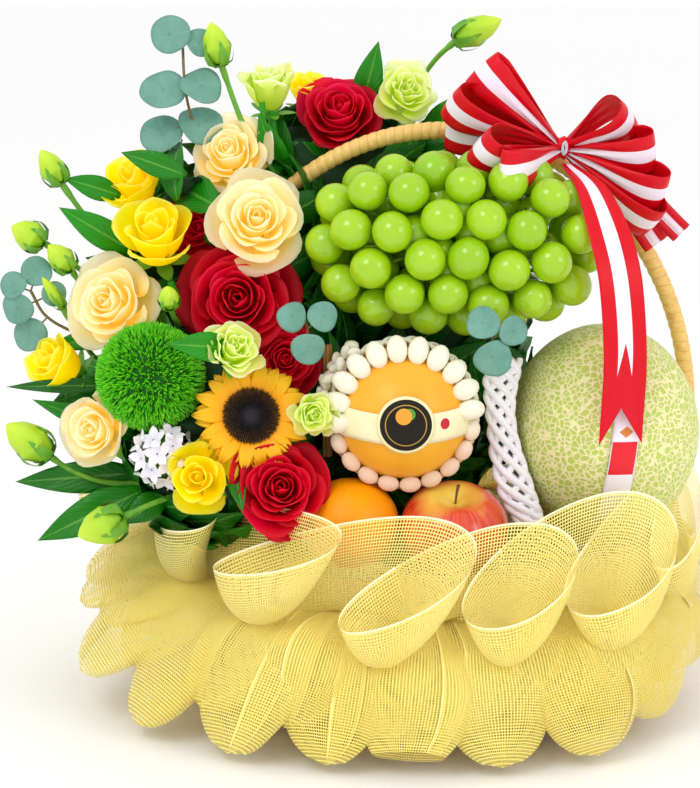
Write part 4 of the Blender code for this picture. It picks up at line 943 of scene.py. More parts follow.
def sepals(radius, matrix, draw):
    """The green cup and its five pointed sepals under a head, with a piece of stem."""
    parts = []
    for k in range(5):
        turn = 2 * math.pi * k / 5 + draw.uniform(-0.2, 0.2)
        bend = draw.uniform(0.1, 0.5)

        def leaf(u, v, turn=turn, bend=bend):
            side = (2 * u - 1) * radius * 0.17 * np.sin(math.pi * np.clip(0.18 + 0.82 * v, 0, 1)) ** 0.8
            out = radius * (0.16 + 0.62 * v + 0.12 * bend * v ** 3)
            z = radius * (-0.66 + 0.16 * v - 0.20 * bend * v ** 2)
            return turned(out, side, turn, z)
        parts.append(sheet_of(2, 6, leaf))
    parts.append(ball((0, 0, -0.62 * radius), 0.24 * radius, 0.20 * radius, 8, 0, 0))
    parts.append(tube([(0, 0, -0.70 * radius), (0, 0, -0.95 * radius)], 0.0022, 6))
    for part in parts:
        moved(part, matrix)
    return parts


def petal_finish(name, foot, middle, lip, heart, through, amount, sheen=0.0):
    """Soft petal: colours by height, with each petal's foot darker, partly its own colour and partly painted
    shade deep in the head, a warmer tone near the heart, and a painted glow in the through colour, at
    strength amount, that stands in for light shining through it.
    """
    # Painted glow: the emission lights the petals from inside in the through colour, standing in for light
    # that shines through them and lifting the shade between them.
    made, tree, shader = new_finish(name, {
        "Roughness": 0.6, "Specular IOR Level": 0.15, "Sheen Weight": sheen, "Sheen Roughness": 0.4,
        "Subsurface Weight": 0.8, "Subsurface Scale": 0.012, "Subsurface Radius": (1.0, 0.85, 0.6),
        "Emission Color": linear(through), "Emission Strength": amount})
    place = add(tree, "ShaderNodeTexCoord")
    split = axes_of(tree, place.outputs["UV"])
    own = add(tree, "ShaderNodeAttribute", {"attribute_name": "share"})
    # Partly painted shade: the foot colour darkens the low part of each petal, deep in the head.
    low = ramp(tree, split.outputs["Y"], 0.30, 0.75)
    high = ramp(tree, split.outputs["Y"], 0.82, 1.0)
    near = ramp(tree, own.outputs["Fac"], 0.05, 0.60, 0.75, 0.0)
    veins = add(tree, "ShaderNodeMapping", {"Scale": (42.0, 2.0, 1.0)}, {"Vector": place.outputs["UV"]})
    fine = mottling(tree, veins.outputs["Vector"], 1.0, 3.0)
    a = blend(tree, low.outputs["Result"], foot, middle)
    b = blend(tree, high.outputs["Result"], a.outputs[2], lip)
    c = blend(tree, near.outputs["Result"], b.outputs[2], heart)
    relief = raised(tree, fine.outputs["Fac"], 0.12, 0.0004)
    coated(tree, shader, c, relief)
    return made


calyx_green, tree, shader = new_finish("fresh_calyx_green", {"Roughness": 0.5})
place = add(tree, "ShaderNodeTexCoord")
cloud = mottling(tree, place.outputs["Object"], 120.0, 2.0)
tone = blend(tree, cloud.outputs["Fac"], "3E8A1A", "7DBB34")
coated(tree, shader, tone)

# The fifth colour and the number after it are each finish's painted glow and its strength.
petal_finishes = {
    "red": petal_finish("velvety_red_petal", "B4000E", "D80012", "E2061C", "D4000E", "C00010", 0.03),
    "peach": petal_finish("peach_petal", "FFDC90", "FFE8AC", "FFF2C8", "FFD47C", "FFD730", 0.16),
    "yellow": petal_finish("yellow_petal", "FFD600", "FFDC00", "FFE628", "FFD400", "FFE200", 0.14),
}


def head(name, radius, spread, petals, frill, matrix, finish, seed):
    """A whole flower head of petals with its calyx, as one piece."""
    draw = random.Random(seed)
    matrix = matrix @ Matrix.Diagonal((1, 1, 1 + 0.45 * (1 - spread) ** 2, 1))
    parts = []
    for k in range(petals):
        share = (k / (petals - 1)) ** 0.82
        turn = k * math.radians(137.5) + draw.uniform(-0.15, 0.15)
        part = sheet_of(12, 10, petal(radius, spread, share, turn, draw, frill))
        part.data.attributes.new("share", "FLOAT", "POINT").data.foreach_set(
            "value", np.full(len(part.data.vertices), share))
        part.data.materials.append(finish)
        parts.append(moved(part, matrix))
    made = joined(name, parts)
    thickened(made, 0.0004)
    cup = sepals(radius, matrix, draw)
    for part in cup:
        part.data.materials.append(calyx_green)
    return joined(name, [made, *cup])


PETALS = {"red": 25, "peach": 20, "yellow": 12}
for number, (name, (at, face, radius, spread)) in enumerate(ROSES.items()):
    colour = name.split("_")[0]
    rose = head(f"{name}_bloom", radius, spread, PETALS[colour], 0.0, facing(at, face, number),
                petal_finishes[colour], number)
    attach(rose, "root")
    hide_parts(name)

# ---------------------------------------------------------------- lisianthus
# Pale green lisianthus: fewer, broader petals with waved edges round a yellow green heart.
LISIANTHUS = {
    "lisianthus_top": ((-0.126, 0.018, 0.450), (0.00, -0.32, 0.95), 0.0235, 0.12),
    "lisianthus_right": ((-0.025, 0.030, 0.447), (0.22, -0.86, 0.45), 0.0250, 0.9),
    "lisianthus_middle": ((-0.148, -0.120, 0.281), (0.30, -0.80, 0.50), 0.0230, 0.5),
    "lisianthus_low": ((-0.093, -0.120, 0.234), (0.20, -0.97, 0.12), 0.0180, 0.7),
}
# DAFF00 and 0.09 are the painted glow and its strength.
lisianthus_petal = petal_finish("pale_green_petal", "C4E034", "E6F458", "F4FAA0", "D0E83C", "DAFF00", 0.09)
for number, (name, (at, face, radius, spread)) in enumerate(LISIANTHUS.items()):
    bloom = head(f"{name}_bloom", radius, spread, 18, 0.035, facing(at, face, number), lisianthus_petal,
                 40 + number)
    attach(bloom, "root")
    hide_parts(name)

# ---------------------------------------------------------------- sunflower
# A small sunflower: two whorls of pointed ribbed rays round a flat dome of dark florets.
SUN_AT, SUN_FACE, SUN_R = (-0.137, -0.104, 0.229), (0.06, -0.94, 0.32), 0.0420
RAYS = 18
draw = random.Random(5)
sun_frame = facing(SUN_AT, SUN_FACE)
rays = []
for whorl in range(2):
    for k in range(RAYS):
        turn = 2 * math.pi * (k + 0.5 * whorl) / RAYS + draw.uniform(-0.06, 0.06)
        reach = SUN_R * draw.uniform(0.90, 1.0) * (1 - 0.06 * whorl)
        wave, dip = draw.uniform(-0.3, 0.3), draw.uniform(-0.08, 0.02)

        def ray(u, v, turn=turn, reach=reach, wave=wave, dip=dip, whorl=whorl):
            side = 2 * u - 1
            wide = 0.115 * SUN_R * (np.sin(math.pi * np.clip(0.22 + 0.78 * v, 0, 1)) ** 0.75) * 1.15
            out = 0.40 * SUN_R + (reach - 0.40 * SUN_R) * v
            z = SUN_R * (0.05 - 0.05 * whorl + 0.10 * np.sin(math.pi * v)
                         + dip * v ** 2) + 0.0012 * np.cos(3 * math.pi * side) * v
            aside = side * wide + wave * 0.004 * v ** 2
            return turned(out, aside, turn, z)
        rays.append(moved(sheet_of(6, 10, ray), sun_frame))
ray_ring = joined("ray_ring", rays)
thickened(ray_ring, 0.0004)
ray_yellow, tree, shader = new_finish("sunflower_ray", {
    "Roughness": 0.5, "Specular IOR Level": 0.3, "Subsurface Weight": 0.15,
    "Subsurface Radius": (0.004, 0.002, 0.001)})
place = add(tree, "ShaderNodeTexCoord")
split = axes_of(tree, place.outputs["UV"])
ribs = add(tree, "ShaderNodeMapping", {"Scale": (16.0, 1.0, 1.0)}, {"Vector": place.outputs["UV"]})
fine = mottling(tree, ribs.outputs["Vector"], 1.0, 2.0)
out = ramp(tree, split.outputs["Y"], 0.0, 0.7)
tone = blend(tree, out.outputs["Result"], "F79A00", "FFC414")
relief = raised(tree, fine.outputs["Fac"], 0.4, 0.0006)
coated(tree, shader, tone, relief)
ray_ring.data.materials.append(ray_yellow)
bpy.ops.mesh.primitive_cone_add(vertices=5, radius1=0.00075, radius2=0.0003, depth=0.0026)
floret = bpy.context.object
spots, tones = [], []
for k in range(620):
    far = 0.47 * SUN_R * math.sqrt((k + 0.5) / 620)
    turn = k * math.radians(137.508)
    share = far / (0.47 * SUN_R)
    rise = SUN_R * (0.10 + 0.07 * math.sin(math.pi * min(1, share * 1.05)) - 0.04 * (1 - share) ** 2)
    lean = Matrix.Rotation(turn, 4, "Z") @ Matrix.Rotation((share - 0.4) * 0.8, 4, "Y")
    spots.append(sun_frame @ Matrix.Translation((far * math.cos(turn), far * math.sin(turn), rise)) @ lean
                 @ Matrix.Scale(0.75 + 0.5 * share, 4))
    tones.append(min(1.0, max(0.0, share + draw.uniform(-0.16, 0.16))))
florets = copies("florets", floret, spots, tones)
cushion = moved(ball((0, 0, 0.05 * SUN_R), 0.48 * SUN_R, 0.09 * SUN_R, 16, 0, 0), sun_frame)
toned(cushion, 0.0)
dark_disc, tree, shader = new_finish("sunflower_disc", {"Roughness": 0.8})
own = add(tree, "ShaderNodeAttribute", {"attribute_name": "tone"})
outer = ramp(tree, own.outputs["Fac"], 0.42, 0.72)
tip = ramp(tree, own.outputs["Fac"], 0.86, 1.0, to_max=0.7)
brown = blend(tree, outer.outputs["Result"], "16101C", "4E3210")
tone = blend(tree, tip.outputs["Result"], brown.outputs[2], "8A5E14")
coated(tree, shader, tone)
florets.data.materials.append(dark_disc)
cushion.data.materials.append(dark_disc)
sun_back = sepals(SUN_R * 0.62, sun_frame @ Matrix.Translation((0, 0, 0.012)), draw)
for part in sun_back:
    part.data.materials.append(calyx_green)
sunflower_bloom = joined("sunflower_bloom", [ray_ring, florets, cushion, *sun_back])
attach(sunflower_bloom, "root")
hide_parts("sunflower")

# ---------------------------------------------------------------- green pompon
# A round green dianthus head: thousands of short bent bristles, bright at their tips, with painted shade
# between them: their feet and the core under them are painted dark green.
POMPON_AT, POMPON_R = Vector((-0.209, -0.082, 0.253)), 0.0400
BRISTLES = 5200
rng = np.random.default_rng(21)


def bristle(u, v):
    a = 2 * math.pi * u
    wide = 0.00085 * (1 - 0.70 * v ** 2)
    return wide * np.cos(a) + 0.0012 * v ** 2, wide * np.sin(a), 0.0070 * v


spots, tones = [], []
for k in range(BRISTLES):
    z = 1 - 2 * (k + 0.5) / BRISTLES
    turn = k * math.pi * (1 + 5 ** 0.5)
    way = Vector((math.sqrt(1 - z * z) * math.cos(turn), math.sqrt(1 - z * z) * math.sin(turn), z))
    way = (way + Vector(rng.normal(0, 0.16, 3))).normalized()
    lift = POMPON_R - 0.0070 - rng.uniform(0, 0.0018)
    at = POMPON_AT + Vector((way.x, way.y * 0.88, way.z)) * lift
    spots.append(facing(at, way, rng.uniform(0, 6.28)))
    tones.append(rng.uniform())
bristles = copies("bristles", sheet_of(4, 3, bristle), spots, tones)
heart = ball(POMPON_AT, POMPON_R - 0.006, POMPON_R - 0.006, 24, 0, 0)
for vert in heart.data.vertices:
    vert.co.y = POMPON_AT.y + (vert.co.y - POMPON_AT.y) * 0.88
bright_bristle, tree, shader = new_finish("dianthus_bristle", {"Roughness": 0.5})
place = add(tree, "ShaderNodeTexCoord")
split = axes_of(tree, place.outputs["UV"])
own = add(tree, "ShaderNodeAttribute", {"attribute_name": "tone"})
tip = blend(tree, own.outputs["Fac"], "4CCB10", "8CF028")
# Painted shade: each bristle darkens towards its foot, deep among the others.
rise = ramp(tree, split.outputs["Y"], 0.1, 0.8)
tone = blend(tree, rise.outputs["Result"], "1E8A08", tip.outputs[2])
coated(tree, shader, tone)
bristles.data.materials.append(bright_bristle)
# Painted shade: the core under the bristles is painted dark green, for the shade deep in the head.
deep_green, tree, shader = new_finish("painted_shade_green_core", {"Roughness": 0.8})
place = add(tree, "ShaderNodeTexCoord")
cloud = add(tree, "ShaderNodeTexNoise", {"Scale": 300.0}, {"Vector": place.outputs["Object"]})
tone = blend(tree, cloud.outputs["Fac"], "0A4A08", "147A10")
coated(tree, shader, tone)
heart.data.materials.append(deep_green)
green_pompon = joined("green_pompon", [bristles, heart])
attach(green_pompon, "root")
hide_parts("pompon")

# ---------------------------------------------------------------- white florets
# A cluster of small white flowers with a breath of lilac, five cupped petals to each.
FLORETS_AT, FLORETS_R = Vector((-0.199, -0.098, 0.199)), 0.0250
draw = random.Random(9)
parts = []
for k in range(20):
    z = 1 - 2 * (k + 0.5) / 20
    turn = k * math.pi * (1 + 5 ** 0.5)
    way = Vector((math.sqrt(1 - z * z) * math.cos(turn), math.sqrt(1 - z * z) * math.sin(turn), z))
    way = (way + Vector((0, -0.4, 0))).normalized()
    at = FLORETS_AT + Vector((way.x, way.y * 0.8, way.z)) * (FLORETS_R - 0.006)
    small = facing(at, way, draw.uniform(0, 6.28))
    for j in range(5):
        around = 2 * math.pi * j / 5
        rise = draw.uniform(0.3, 0.7)

        def leaflet(u, v, around=around, rise=rise):
            side = (2 * u - 1) * 0.0036 * np.sin(math.pi * np.clip(0.12 + 0.86 * v, 0, 1)) ** 0.8
            out = 0.0006 + 0.0092 * v
            z = 0.0060 * rise * v ** 1.5 + 0.001
            return turned(out, side, around, z)
        parts.append(moved(sheet_of(4, 4, leaflet), small))
lump = ball(FLORETS_AT, FLORETS_R - 0.0085, FLORETS_R - 0.0085, 10, 0, 0)
for vert in lump.data.vertices:
    vert.co.y = FLORETS_AT.y + (vert.co.y - FLORETS_AT.y) * 0.8
white_petal, tree, shader = new_finish("white_lilac_petal", {
    "Roughness": 0.6, "Subsurface Weight": 0.2, "Subsurface Radius": (0.003, 0.003, 0.003)})
place = add(tree, "ShaderNodeTexCoord")
split = axes_of(tree, place.outputs["UV"])
tone = blend(tree, split.outputs["Y"], "E6DFF2", "FFFDFF")
coated(tree, shader, tone)
for part in parts:
    part.data.materials.append(white_petal)
lump.data.materials.append(calyx_green)
white_cluster = joined("white_cluster", [*parts, lump])
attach(white_cluster, "root")
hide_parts("white_florets")

# ---------------------------------------------------------------- buds
# Closed lisianthus buds on thin bent stems: petals wound tightly to a point, in a green calyx with
# narrow sepals.
BUDS = {
    "bud_top": ((-0.161, 0.000, 0.467), (-0.168, -0.003, 0.498), 0.0105,
                ((-0.152, 0.004, 0.440), (-0.140, 0.006, 0.405), (-0.138, 0.010, 0.370))),
    "bud_right": ((0.010, 0.034, 0.483), (0.044, 0.028, 0.499), 0.0110,
                  ((-0.004, 0.048, 0.468), (-0.022, 0.068, 0.440), (-0.050, 0.066, 0.400),
                   (-0.080, 0.050, 0.360))),
    "bud_far_left": ((-0.278, -0.010, 0.382), (-0.292, -0.013, 0.407), 0.0095,
                     ((-0.262, -0.008, 0.358), (-0.243, -0.005, 0.330), (-0.205, 0.005, 0.300))),
    "bud_left_pair": ((-0.291, -0.018, 0.340), (-0.313, -0.026, 0.353), 0.0115,
                      ((-0.276, -0.014, 0.328), (-0.255, -0.010, 0.312), (-0.205, 0.000, 0.290))),
    "bud_left_second": ((-0.270, -0.030, 0.322), (-0.285, -0.038, 0.341), 0.0095,
                        ((-0.262, -0.024, 0.308), (-0.245, -0.014, 0.290), (-0.210, -0.004, 0.275))),
    "bud_low_left": ((-0.285, -0.068, 0.192), (-0.313, -0.080, 0.218), 0.0135,
                     ((-0.268, -0.066, 0.180), (-0.243, -0.068, 0.172), (-0.205, -0.066, 0.172),
                      (-0.165, -0.050, 0.175))),
    "bud_bottom": ((-0.226, -0.118, 0.160), (-0.258, -0.126, 0.148), 0.0140,
                   ((-0.210, -0.110, 0.166), (-0.185, -0.088, 0.170), (-0.150, -0.060, 0.172))),
    "bud_slim": ((-0.276, -0.034, 0.294), (-0.290, -0.040, 0.318), 0.0048,
                 ((-0.266, -0.028, 0.274), (-0.250, -0.018, 0.250), (-0.205, -0.006, 0.235))),
    "bud_inner": ((-0.194, -0.086, 0.304), (-0.195, -0.096, 0.320), 0.0075,
                  ((-0.192, -0.074, 0.294), (-0.188, -0.050, 0.284), (-0.175, -0.025, 0.275))),
}
bud_skin, tree, shader = new_finish("closed_bud_petal", {"Roughness": 0.45, "Specular IOR Level": 0.35})
place = add(tree, "ShaderNodeTexCoord")
split = axes_of(tree, place.outputs["UV"])
wound = add(tree, "ShaderNodeMapping", {"Scale": (14.0, 1.0, 1.0)}, {"Vector": place.outputs["UV"]})
fine = mottling(tree, wound.outputs["Vector"], 1.0, 2.0)
tone = blend(tree, split.outputs["Y"], "7FBF1E", "CBE63C")
relief = raised(tree, fine.outputs["Fac"], 0.3, 0.0005)
coated(tree, shader, tone, relief)
for number, (name, (foot, tip, radius, stem)) in enumerate(BUDS.items()):
    foot, tip = Vector(foot), Vector(tip)
    length = (tip - foot).length
    local = facing(foot, tip - foot, number)

    def wound_petals(u, v, radius=radius, length=length):
        a = 2 * math.pi * u + 1.6 * v
        fat = np.interp(v, (0, 0.08, 0.40, 0.72, 0.92, 1.0), (0.05, 0.62, 1.0, 0.72, 0.30, 0.02))
        out = radius * fat * (1 + 0.10 * np.abs(np.sin(2.5 * a - 5.0 * v)) - 0.05)
        return out * np.cos(a), out * np.sin(a), length * v
    closed = moved(welded(sheet_of(30, 22, wound_petals)), local)
    closed.data.materials.append(bud_skin)
    greens = []
    for k in range(5):
        around = 2 * math.pi * k / 5

        def sepal(u, v, around=around, radius=radius, length=length):
            side = (2 * u - 1) * radius * 0.42 * (1 - v) ** 0.7
            out = radius * np.interp(v, (0, 0.15, 0.5, 1.0), (0.15, 0.80, 1.04, 0.86)) + 0.0006
            return turned(out, side, around, length * (0.62 * v - 0.03))
        greens.append(moved(sheet_of(2, 7, sepal), local))
    line = smooth_path([tuple(foot + (tip - foot) * 0.06), *stem], 6)
    greens.append(tube(line, [0.0026 if k < 3 else 0.0020 for k in range(len(line))], 8))
    for part in greens:
        part.data.materials.append(calyx_green)
    closed_bud = joined(f"{name}_closed", [closed, *greens])
    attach(closed_bud, "root")
    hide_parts(name)

# ---------------------------------------------------------------- eucalyptus
# Sprigs of silver-dollar eucalyptus: round waxy blue-green leaves in pairs on a thin brown stem.
EUCALYPTUS = {
    "eucalyptus_top": (
        ((-0.160, 0.010, 0.385), (-0.178, 0.004, 0.415), (-0.187, 0.000, 0.447), (-0.189, 0.000, 0.490)),
        (((-0.198, -0.003, 0.489), (-0.2, -0.93, 0.3), 0.0150),
         ((-0.176, -0.003, 0.483), (0.3, -0.9, 0.3), 0.0110),
         ((-0.203, -0.004, 0.450), (-0.1, -0.75, 0.65), 0.0175),
         ((-0.175, -0.004, 0.453), (0.2, -0.8, 0.6), 0.0155),
         ((-0.204, 0.000, 0.417), (-0.2, -0.8, 0.6), 0.0165),
         ((-0.178, 0.000, 0.424), (0.2, -0.8, 0.6), 0.0165))),
    "eucalyptus_left": (
        ((-0.215, -0.010, 0.255), (-0.262, -0.026, 0.272), (-0.288, -0.032, 0.287), (-0.299, -0.036, 0.307)),
        (((-0.294, -0.036, 0.321), (0.1, -0.95, 0.2), 0.0115),
         ((-0.311, -0.036, 0.311), (-0.3, -0.9, 0.3), 0.0105),
         ((-0.309, -0.037, 0.294), (-0.3, -0.9, -0.1), 0.0125),
         ((-0.283, -0.036, 0.305), (0.4, -0.9, 0.1), 0.0095),
         ((-0.301, -0.034, 0.274), (-0.2, -0.95, 0.2), 0.0130))),
    "eucalyptus_middle": (
        ((-0.108, -0.030, 0.305), (-0.102, -0.075, 0.302), (-0.097, -0.112, 0.293)),
        (((-0.108, -0.110, 0.301), (-0.4, -0.90, 0.3), 0.0112),
         ((-0.086, -0.113, 0.302), (0.4, -0.90, 0.2), 0.0112),
         ((-0.096, -0.119, 0.281), (0.1, -0.98, -0.2), 0.0120))),
    "eucalyptus_right": (
        ((0.030, -0.040, 0.272), (0.031, -0.085, 0.284), (0.031, -0.113, 0.287)),
        (((0.024, -0.114, 0.297), (-0.2, -0.93, 0.3), 0.0120),
         ((0.046, -0.112, 0.291), (0.4, -0.9, 0.1), 0.0110),
         ((0.031, -0.115, 0.273), (0.0, -0.98, -0.1), 0.0135))),
}
waxy_leaf, tree, shader = new_finish("waxy_eucalyptus_leaf", {"Roughness": 0.5, "Specular IOR Level": 0.35})
place = add(tree, "ShaderNodeTexCoord")
cloud = mottling(tree, place.outputs["Object"], 60.0, 4.0)
split = axes_of(tree, place.outputs["UV"])
spokes = reckoned(tree, "MULTIPLY", split.outputs["X"], 2 * math.pi * 7)
wave = reckoned(tree, "SINE", spokes.outputs[0])
vein = ramp(tree, wave.outputs[0], 0.94, 1.0, to_max=0.22)
tone = blend(tree, cloud.outputs["Fac"], "4C8474", "7FAF9F")
veined = blend(tree, vein.outputs["Result"], tone.outputs[2], "8DBBAA")
coated(tree, shader, veined)
brown_stem, tree, shader = new_finish("brown_twig", {"Roughness": 0.7})
place = add(tree, "ShaderNodeTexCoord")
cloud = add(tree, "ShaderNodeTexNoise", {"Scale": 200.0}, {"Vector": place.outputs["Object"]})
tone = blend(tree, cloud.outputs["Fac"], "5E4A2A", "8E7A48")
coated(tree, shader, tone)
draw = random.Random(31)
for name, (stem, leaves) in EUCALYPTUS.items():
    parts = []
    for at, face, radius in leaves:
        bow, skew = draw.uniform(0.05, 0.22), draw.uniform(0, 6.28)

        def round_leaf(u, v, radius=radius, bow=bow, skew=skew):
            a = 2 * math.pi * u
            far = radius * (0.01 + 0.99 * v) * (1 + 0.06 * np.cos(a - skew) + 0.03 * np.sin(3 * a + skew))
            return (far * np.cos(a), far * np.sin(a) * 0.95,
                    radius * (bow * v ** 2 * np.cos(2 * (a - skew)) + 0.03 * np.sin(5 * a) * v))
        leaf = moved(welded(sheet_of(28, 6, round_leaf)), facing(at, face, draw.uniform(-0.3, 0.3)))
        thickened(leaf, 0.0005)
        leaf.data.materials.append(waxy_leaf)
        parts.append(leaf)
    line = smooth_path(stem, 8)
    twig = tube(line, 0.0011, 8)
    twig.data.materials.append(brown_stem)
    for at, _, radius in leaves:
        near = min(line, key=lambda p: (p - Vector(at)).length)
        joint = tube([near, near.lerp(Vector(at), 0.6)], 0.0007, 6)
        joint.data.materials.append(brown_stem)
        parts.append(joint)
    sprig = joined(f"{name}_sprig", [*parts, twig])
    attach(sprig, "root")
    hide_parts(name)

# ---------------------------------------------------------------- foliage
# Stems and lance-shaped glossy leaves that fill the space behind the flower heads, over clumps that stand in
# for more of the same leaves, painted dark as shade.
LEAVES = (
    ((-0.185, -0.030, 0.390), (-0.232, -0.030, 0.407), 0.018),
    ((-0.236, 0.000, 0.372), (-0.276, -0.010, 0.386), 0.018),
    ((-0.226, -0.012, 0.332), (-0.279, -0.020, 0.366), 0.022),
    ((-0.210, -0.004, 0.314), (-0.262, -0.012, 0.328), 0.020),
    ((-0.118, 0.020, 0.380), (-0.134, 0.000, 0.432), 0.022),
    ((-0.060, 0.055, 0.425), (-0.046, 0.050, 0.482), 0.022),
    ((-0.015, 0.045, 0.410), (0.034, 0.034, 0.446), 0.024),
    ((-0.030, 0.050, 0.390), (0.022, 0.030, 0.408), 0.022),
    ((-0.235, -0.050, 0.240), (-0.316, -0.055, 0.240), 0.011),
    ((-0.232, -0.040, 0.245), (-0.285, -0.046, 0.226), 0.022),
    ((-0.222, -0.046, 0.200), (-0.298, -0.052, 0.230), 0.018),
    ((-0.220, -0.056, 0.176), (-0.310, -0.066, 0.172), 0.024),
    ((-0.215, -0.072, 0.168), (-0.292, -0.088, 0.134), 0.028),
    ((-0.200, -0.090, 0.168), (-0.228, -0.108, 0.152), 0.020),
    ((-0.225, -0.030, 0.278), (-0.292, -0.026, 0.262), 0.016),
    ((-0.150, -0.112, 0.279), (-0.192, -0.142, 0.288), 0.020),
    ((-0.150, -0.100, 0.196), (-0.142, -0.136, 0.168), 0.014),
    ((-0.100, 0.050, 0.340), (-0.098, 0.105, 0.380), 0.026),
    ((-0.200, 0.030, 0.300), (-0.246, 0.068, 0.320), 0.026),
    ((-0.050, 0.050, 0.320), (-0.030, 0.094, 0.362), 0.026),
    ((-0.160, 0.050, 0.260), (-0.195, 0.104, 0.262), 0.028),
    ((-0.090, 0.045, 0.240), (-0.092, 0.116, 0.262), 0.028),
    ((-0.220, 0.020, 0.230), (-0.276, 0.044, 0.238), 0.026),
    ((-0.040, 0.050, 0.230), (-0.008, 0.104, 0.258), 0.026),
)
CLUMPS = (
    ((-0.150, -0.006, 0.225), (0.090, 0.078, 0.118)),
    ((-0.158, -0.008, 0.330), (0.070, 0.044, 0.082)),
    ((-0.078, 0.044, 0.372), (0.062, 0.026, 0.076)),
    ((-0.026, 0.036, 0.255), (0.090, 0.034, 0.140)),
    ((-0.160, -0.062, 0.190), (0.066, 0.052, 0.062)),
)


def lance(base, tip, width, view, bow):
    """A leaf from base to tip, folded a little along its rib and bowed away from view."""
    base, run = Vector(base), Vector(tip) - Vector(base)
    side = run.cross(view).normalized()
    up = side.cross(run).normalized()

    def shape(u, v):
        across = 2 * u - 1
        wide = 0.5 * width * np.sin(math.pi * np.clip(0.04 + 0.96 * v, 0, 1) ** 0.85)
        rise = bow * run.length * np.sin(math.pi * v) + 0.16 * width * np.abs(across) * np.sin(math.pi * v)
        rise = rise + 0.03 * width * np.sin(14 * v + 3 * across)
        spot = [base[k] + run[k] * v + side[k] * across * wide + up[k] * rise for k in range(3)]
        return tuple(spot)
    return shape


def on_clump(point):
    """True where a point lies on the outside of the clumps taken together."""
    return all(sum(((p - c) / h) ** 2 for p, c, h in zip(point, at, half)) > 0.90 for at, half in CLUMPS)


HEADS = [(Vector(at), Vector(face).normalized(), radius)
         for at, face, radius, *_ in (*ROSES.values(), *LISIANTHUS.values(), (SUN_AT, SUN_FACE, SUN_R),
                                      (POMPON_AT, (0, -1, 0), POMPON_R), (FLORETS_AT, (0, -1, 0), FLORETS_R))]


def behind_heads(point, room):
    """The point, moved back where it would stand in a flower head or in front of it."""
    point = Vector(point)
    for at, face, radius in HEADS:
        away = point - at
        level = away.dot(face)
        aside = (away - face * level).length
        if aside < radius + room and level > -0.62 * radius:
            point -= face * (level + 0.62 * radius)
    return point


draw = random.Random(17)
parts, tones = [], []
for base, tip, width in LEAVES:
    parts.append(sheet_of(4, 12, lance(base, tip, width, Vector((0, -1, 0.25)), 0.06)))
    tones.append(draw.uniform(0.1, 0.8))
for at, half in CLUMPS:
    amount = int(6500 * half[0] * half[2]) + 70
    for k in range(amount):
        z = 1 - 2 * (k + 0.5) / amount
        turn = k * math.pi * (1 + 5 ** 0.5)
        unit = Vector((math.sqrt(1 - z * z) * math.cos(turn), math.sqrt(1 - z * z) * math.sin(turn), z))
        spot = Vector([c + u * h for c, u, h in zip(at, unit, half)])
        if not on_clump(spot) or (behind_heads(spot, 0.004) - spot).length > 0.018:
            continue
        spot = behind_heads(spot, 0.004)
        outward = Vector([u / h for u, h in zip(unit, half)]).normalized()
        grow = (Vector((draw.uniform(-1, 1), draw.uniform(-0.4, 0.4), draw.uniform(0.1, 1.0)))
                + outward * 0.1)
        grow = (grow - outward * grow.dot(outward)).normalized()
        length = draw.uniform(0.042, 0.064)
        foot = spot - outward * 0.014 - grow * length * 0.5
        end = foot + grow * length + outward * draw.uniform(0.012, 0.022)
        end = behind_heads(end, 0.003)
        parts.append(sheet_of(2, 6, lance(foot, end, length * draw.uniform(0.40, 0.50), outward, 0.10)))
        tones.append(draw.uniform(0.0, 0.6))
for part, tone in zip(parts, tones):
    toned(part, tone)
STEMS = (
    ((-0.126, 0.020, 0.432), (-0.120, 0.022, 0.390), (-0.108, 0.020, 0.340), 0.0032),
    ((-0.098, 0.054, 0.430), (-0.102, 0.046, 0.380), (-0.104, 0.030, 0.330), 0.0026),
    ((-0.132, 0.006, 0.440), (-0.128, 0.004, 0.400), (-0.122, 0.000, 0.372), 0.0022),
    ((-0.080, 0.034, 0.405), (-0.086, 0.026, 0.370), (-0.092, 0.010, 0.330), 0.0030),
    ((-0.070, 0.000, 0.350), (-0.074, -0.006, 0.300), (-0.078, -0.012, 0.250), 0.0028),
    ((-0.196, -0.058, 0.318), (-0.188, -0.052, 0.296), (-0.180, -0.046, 0.270), 0.0026),
)
leaf_spray = joined("leaf_spray", parts)
thickened(leaf_spray, 0.0004)
stems = []
for *line, thick in STEMS:
    stem = tube(smooth_path(line, 6), thick, 8)
    toned(stem, 0.9)
    stems.append(stem)
leaf_spray = joined("leaf_spray", [leaf_spray, *stems])
glossy_leaf, tree, shader = new_finish("glossy_leaf", {"Roughness": 0.34, "Specular IOR Level": 0.3})
place = add(tree, "ShaderNodeTexCoord")
own = add(tree, "ShaderNodeAttribute", {"attribute_name": "tone"})
split = axes_of(tree, place.outputs["UV"])
middle = reckoned(tree, "SUBTRACT", split.outputs["X"], 0.5)
aside = reckoned(tree, "ABSOLUTE", middle.outputs[0])
rib = ramp(tree, aside.outputs[0], 0.02, 0.05, 0.35, 0.0)
slant = add(tree, "ShaderNodeMath", {"operation": "MULTIPLY_ADD", 1: -0.7},
            {0: aside.outputs[0], 2: split.outputs["Y"]})
rows = reckoned(tree, "MULTIPLY", slant.outputs[0], 60.0)
wave = reckoned(tree, "SINE", rows.outputs[0])
vein = ramp(tree, wave.outputs[0], 0.7, 1.0, to_max=0.12)
tone = blend(tree, own.outputs["Fac"], "075206", "249A0C")
veined = blend(tree, vein.outputs["Result"], tone.outputs[2], "4FAE38")
ribbed = blend(tree, rib.outputs["Result"], veined.outputs[2], "8CCB52")
relief = raised(tree, wave.outputs[0], 0.25, 0.0005)
coated(tree, shader, ribbed, relief)
leaf_spray.data.materials.append(glossy_leaf)
masses = []
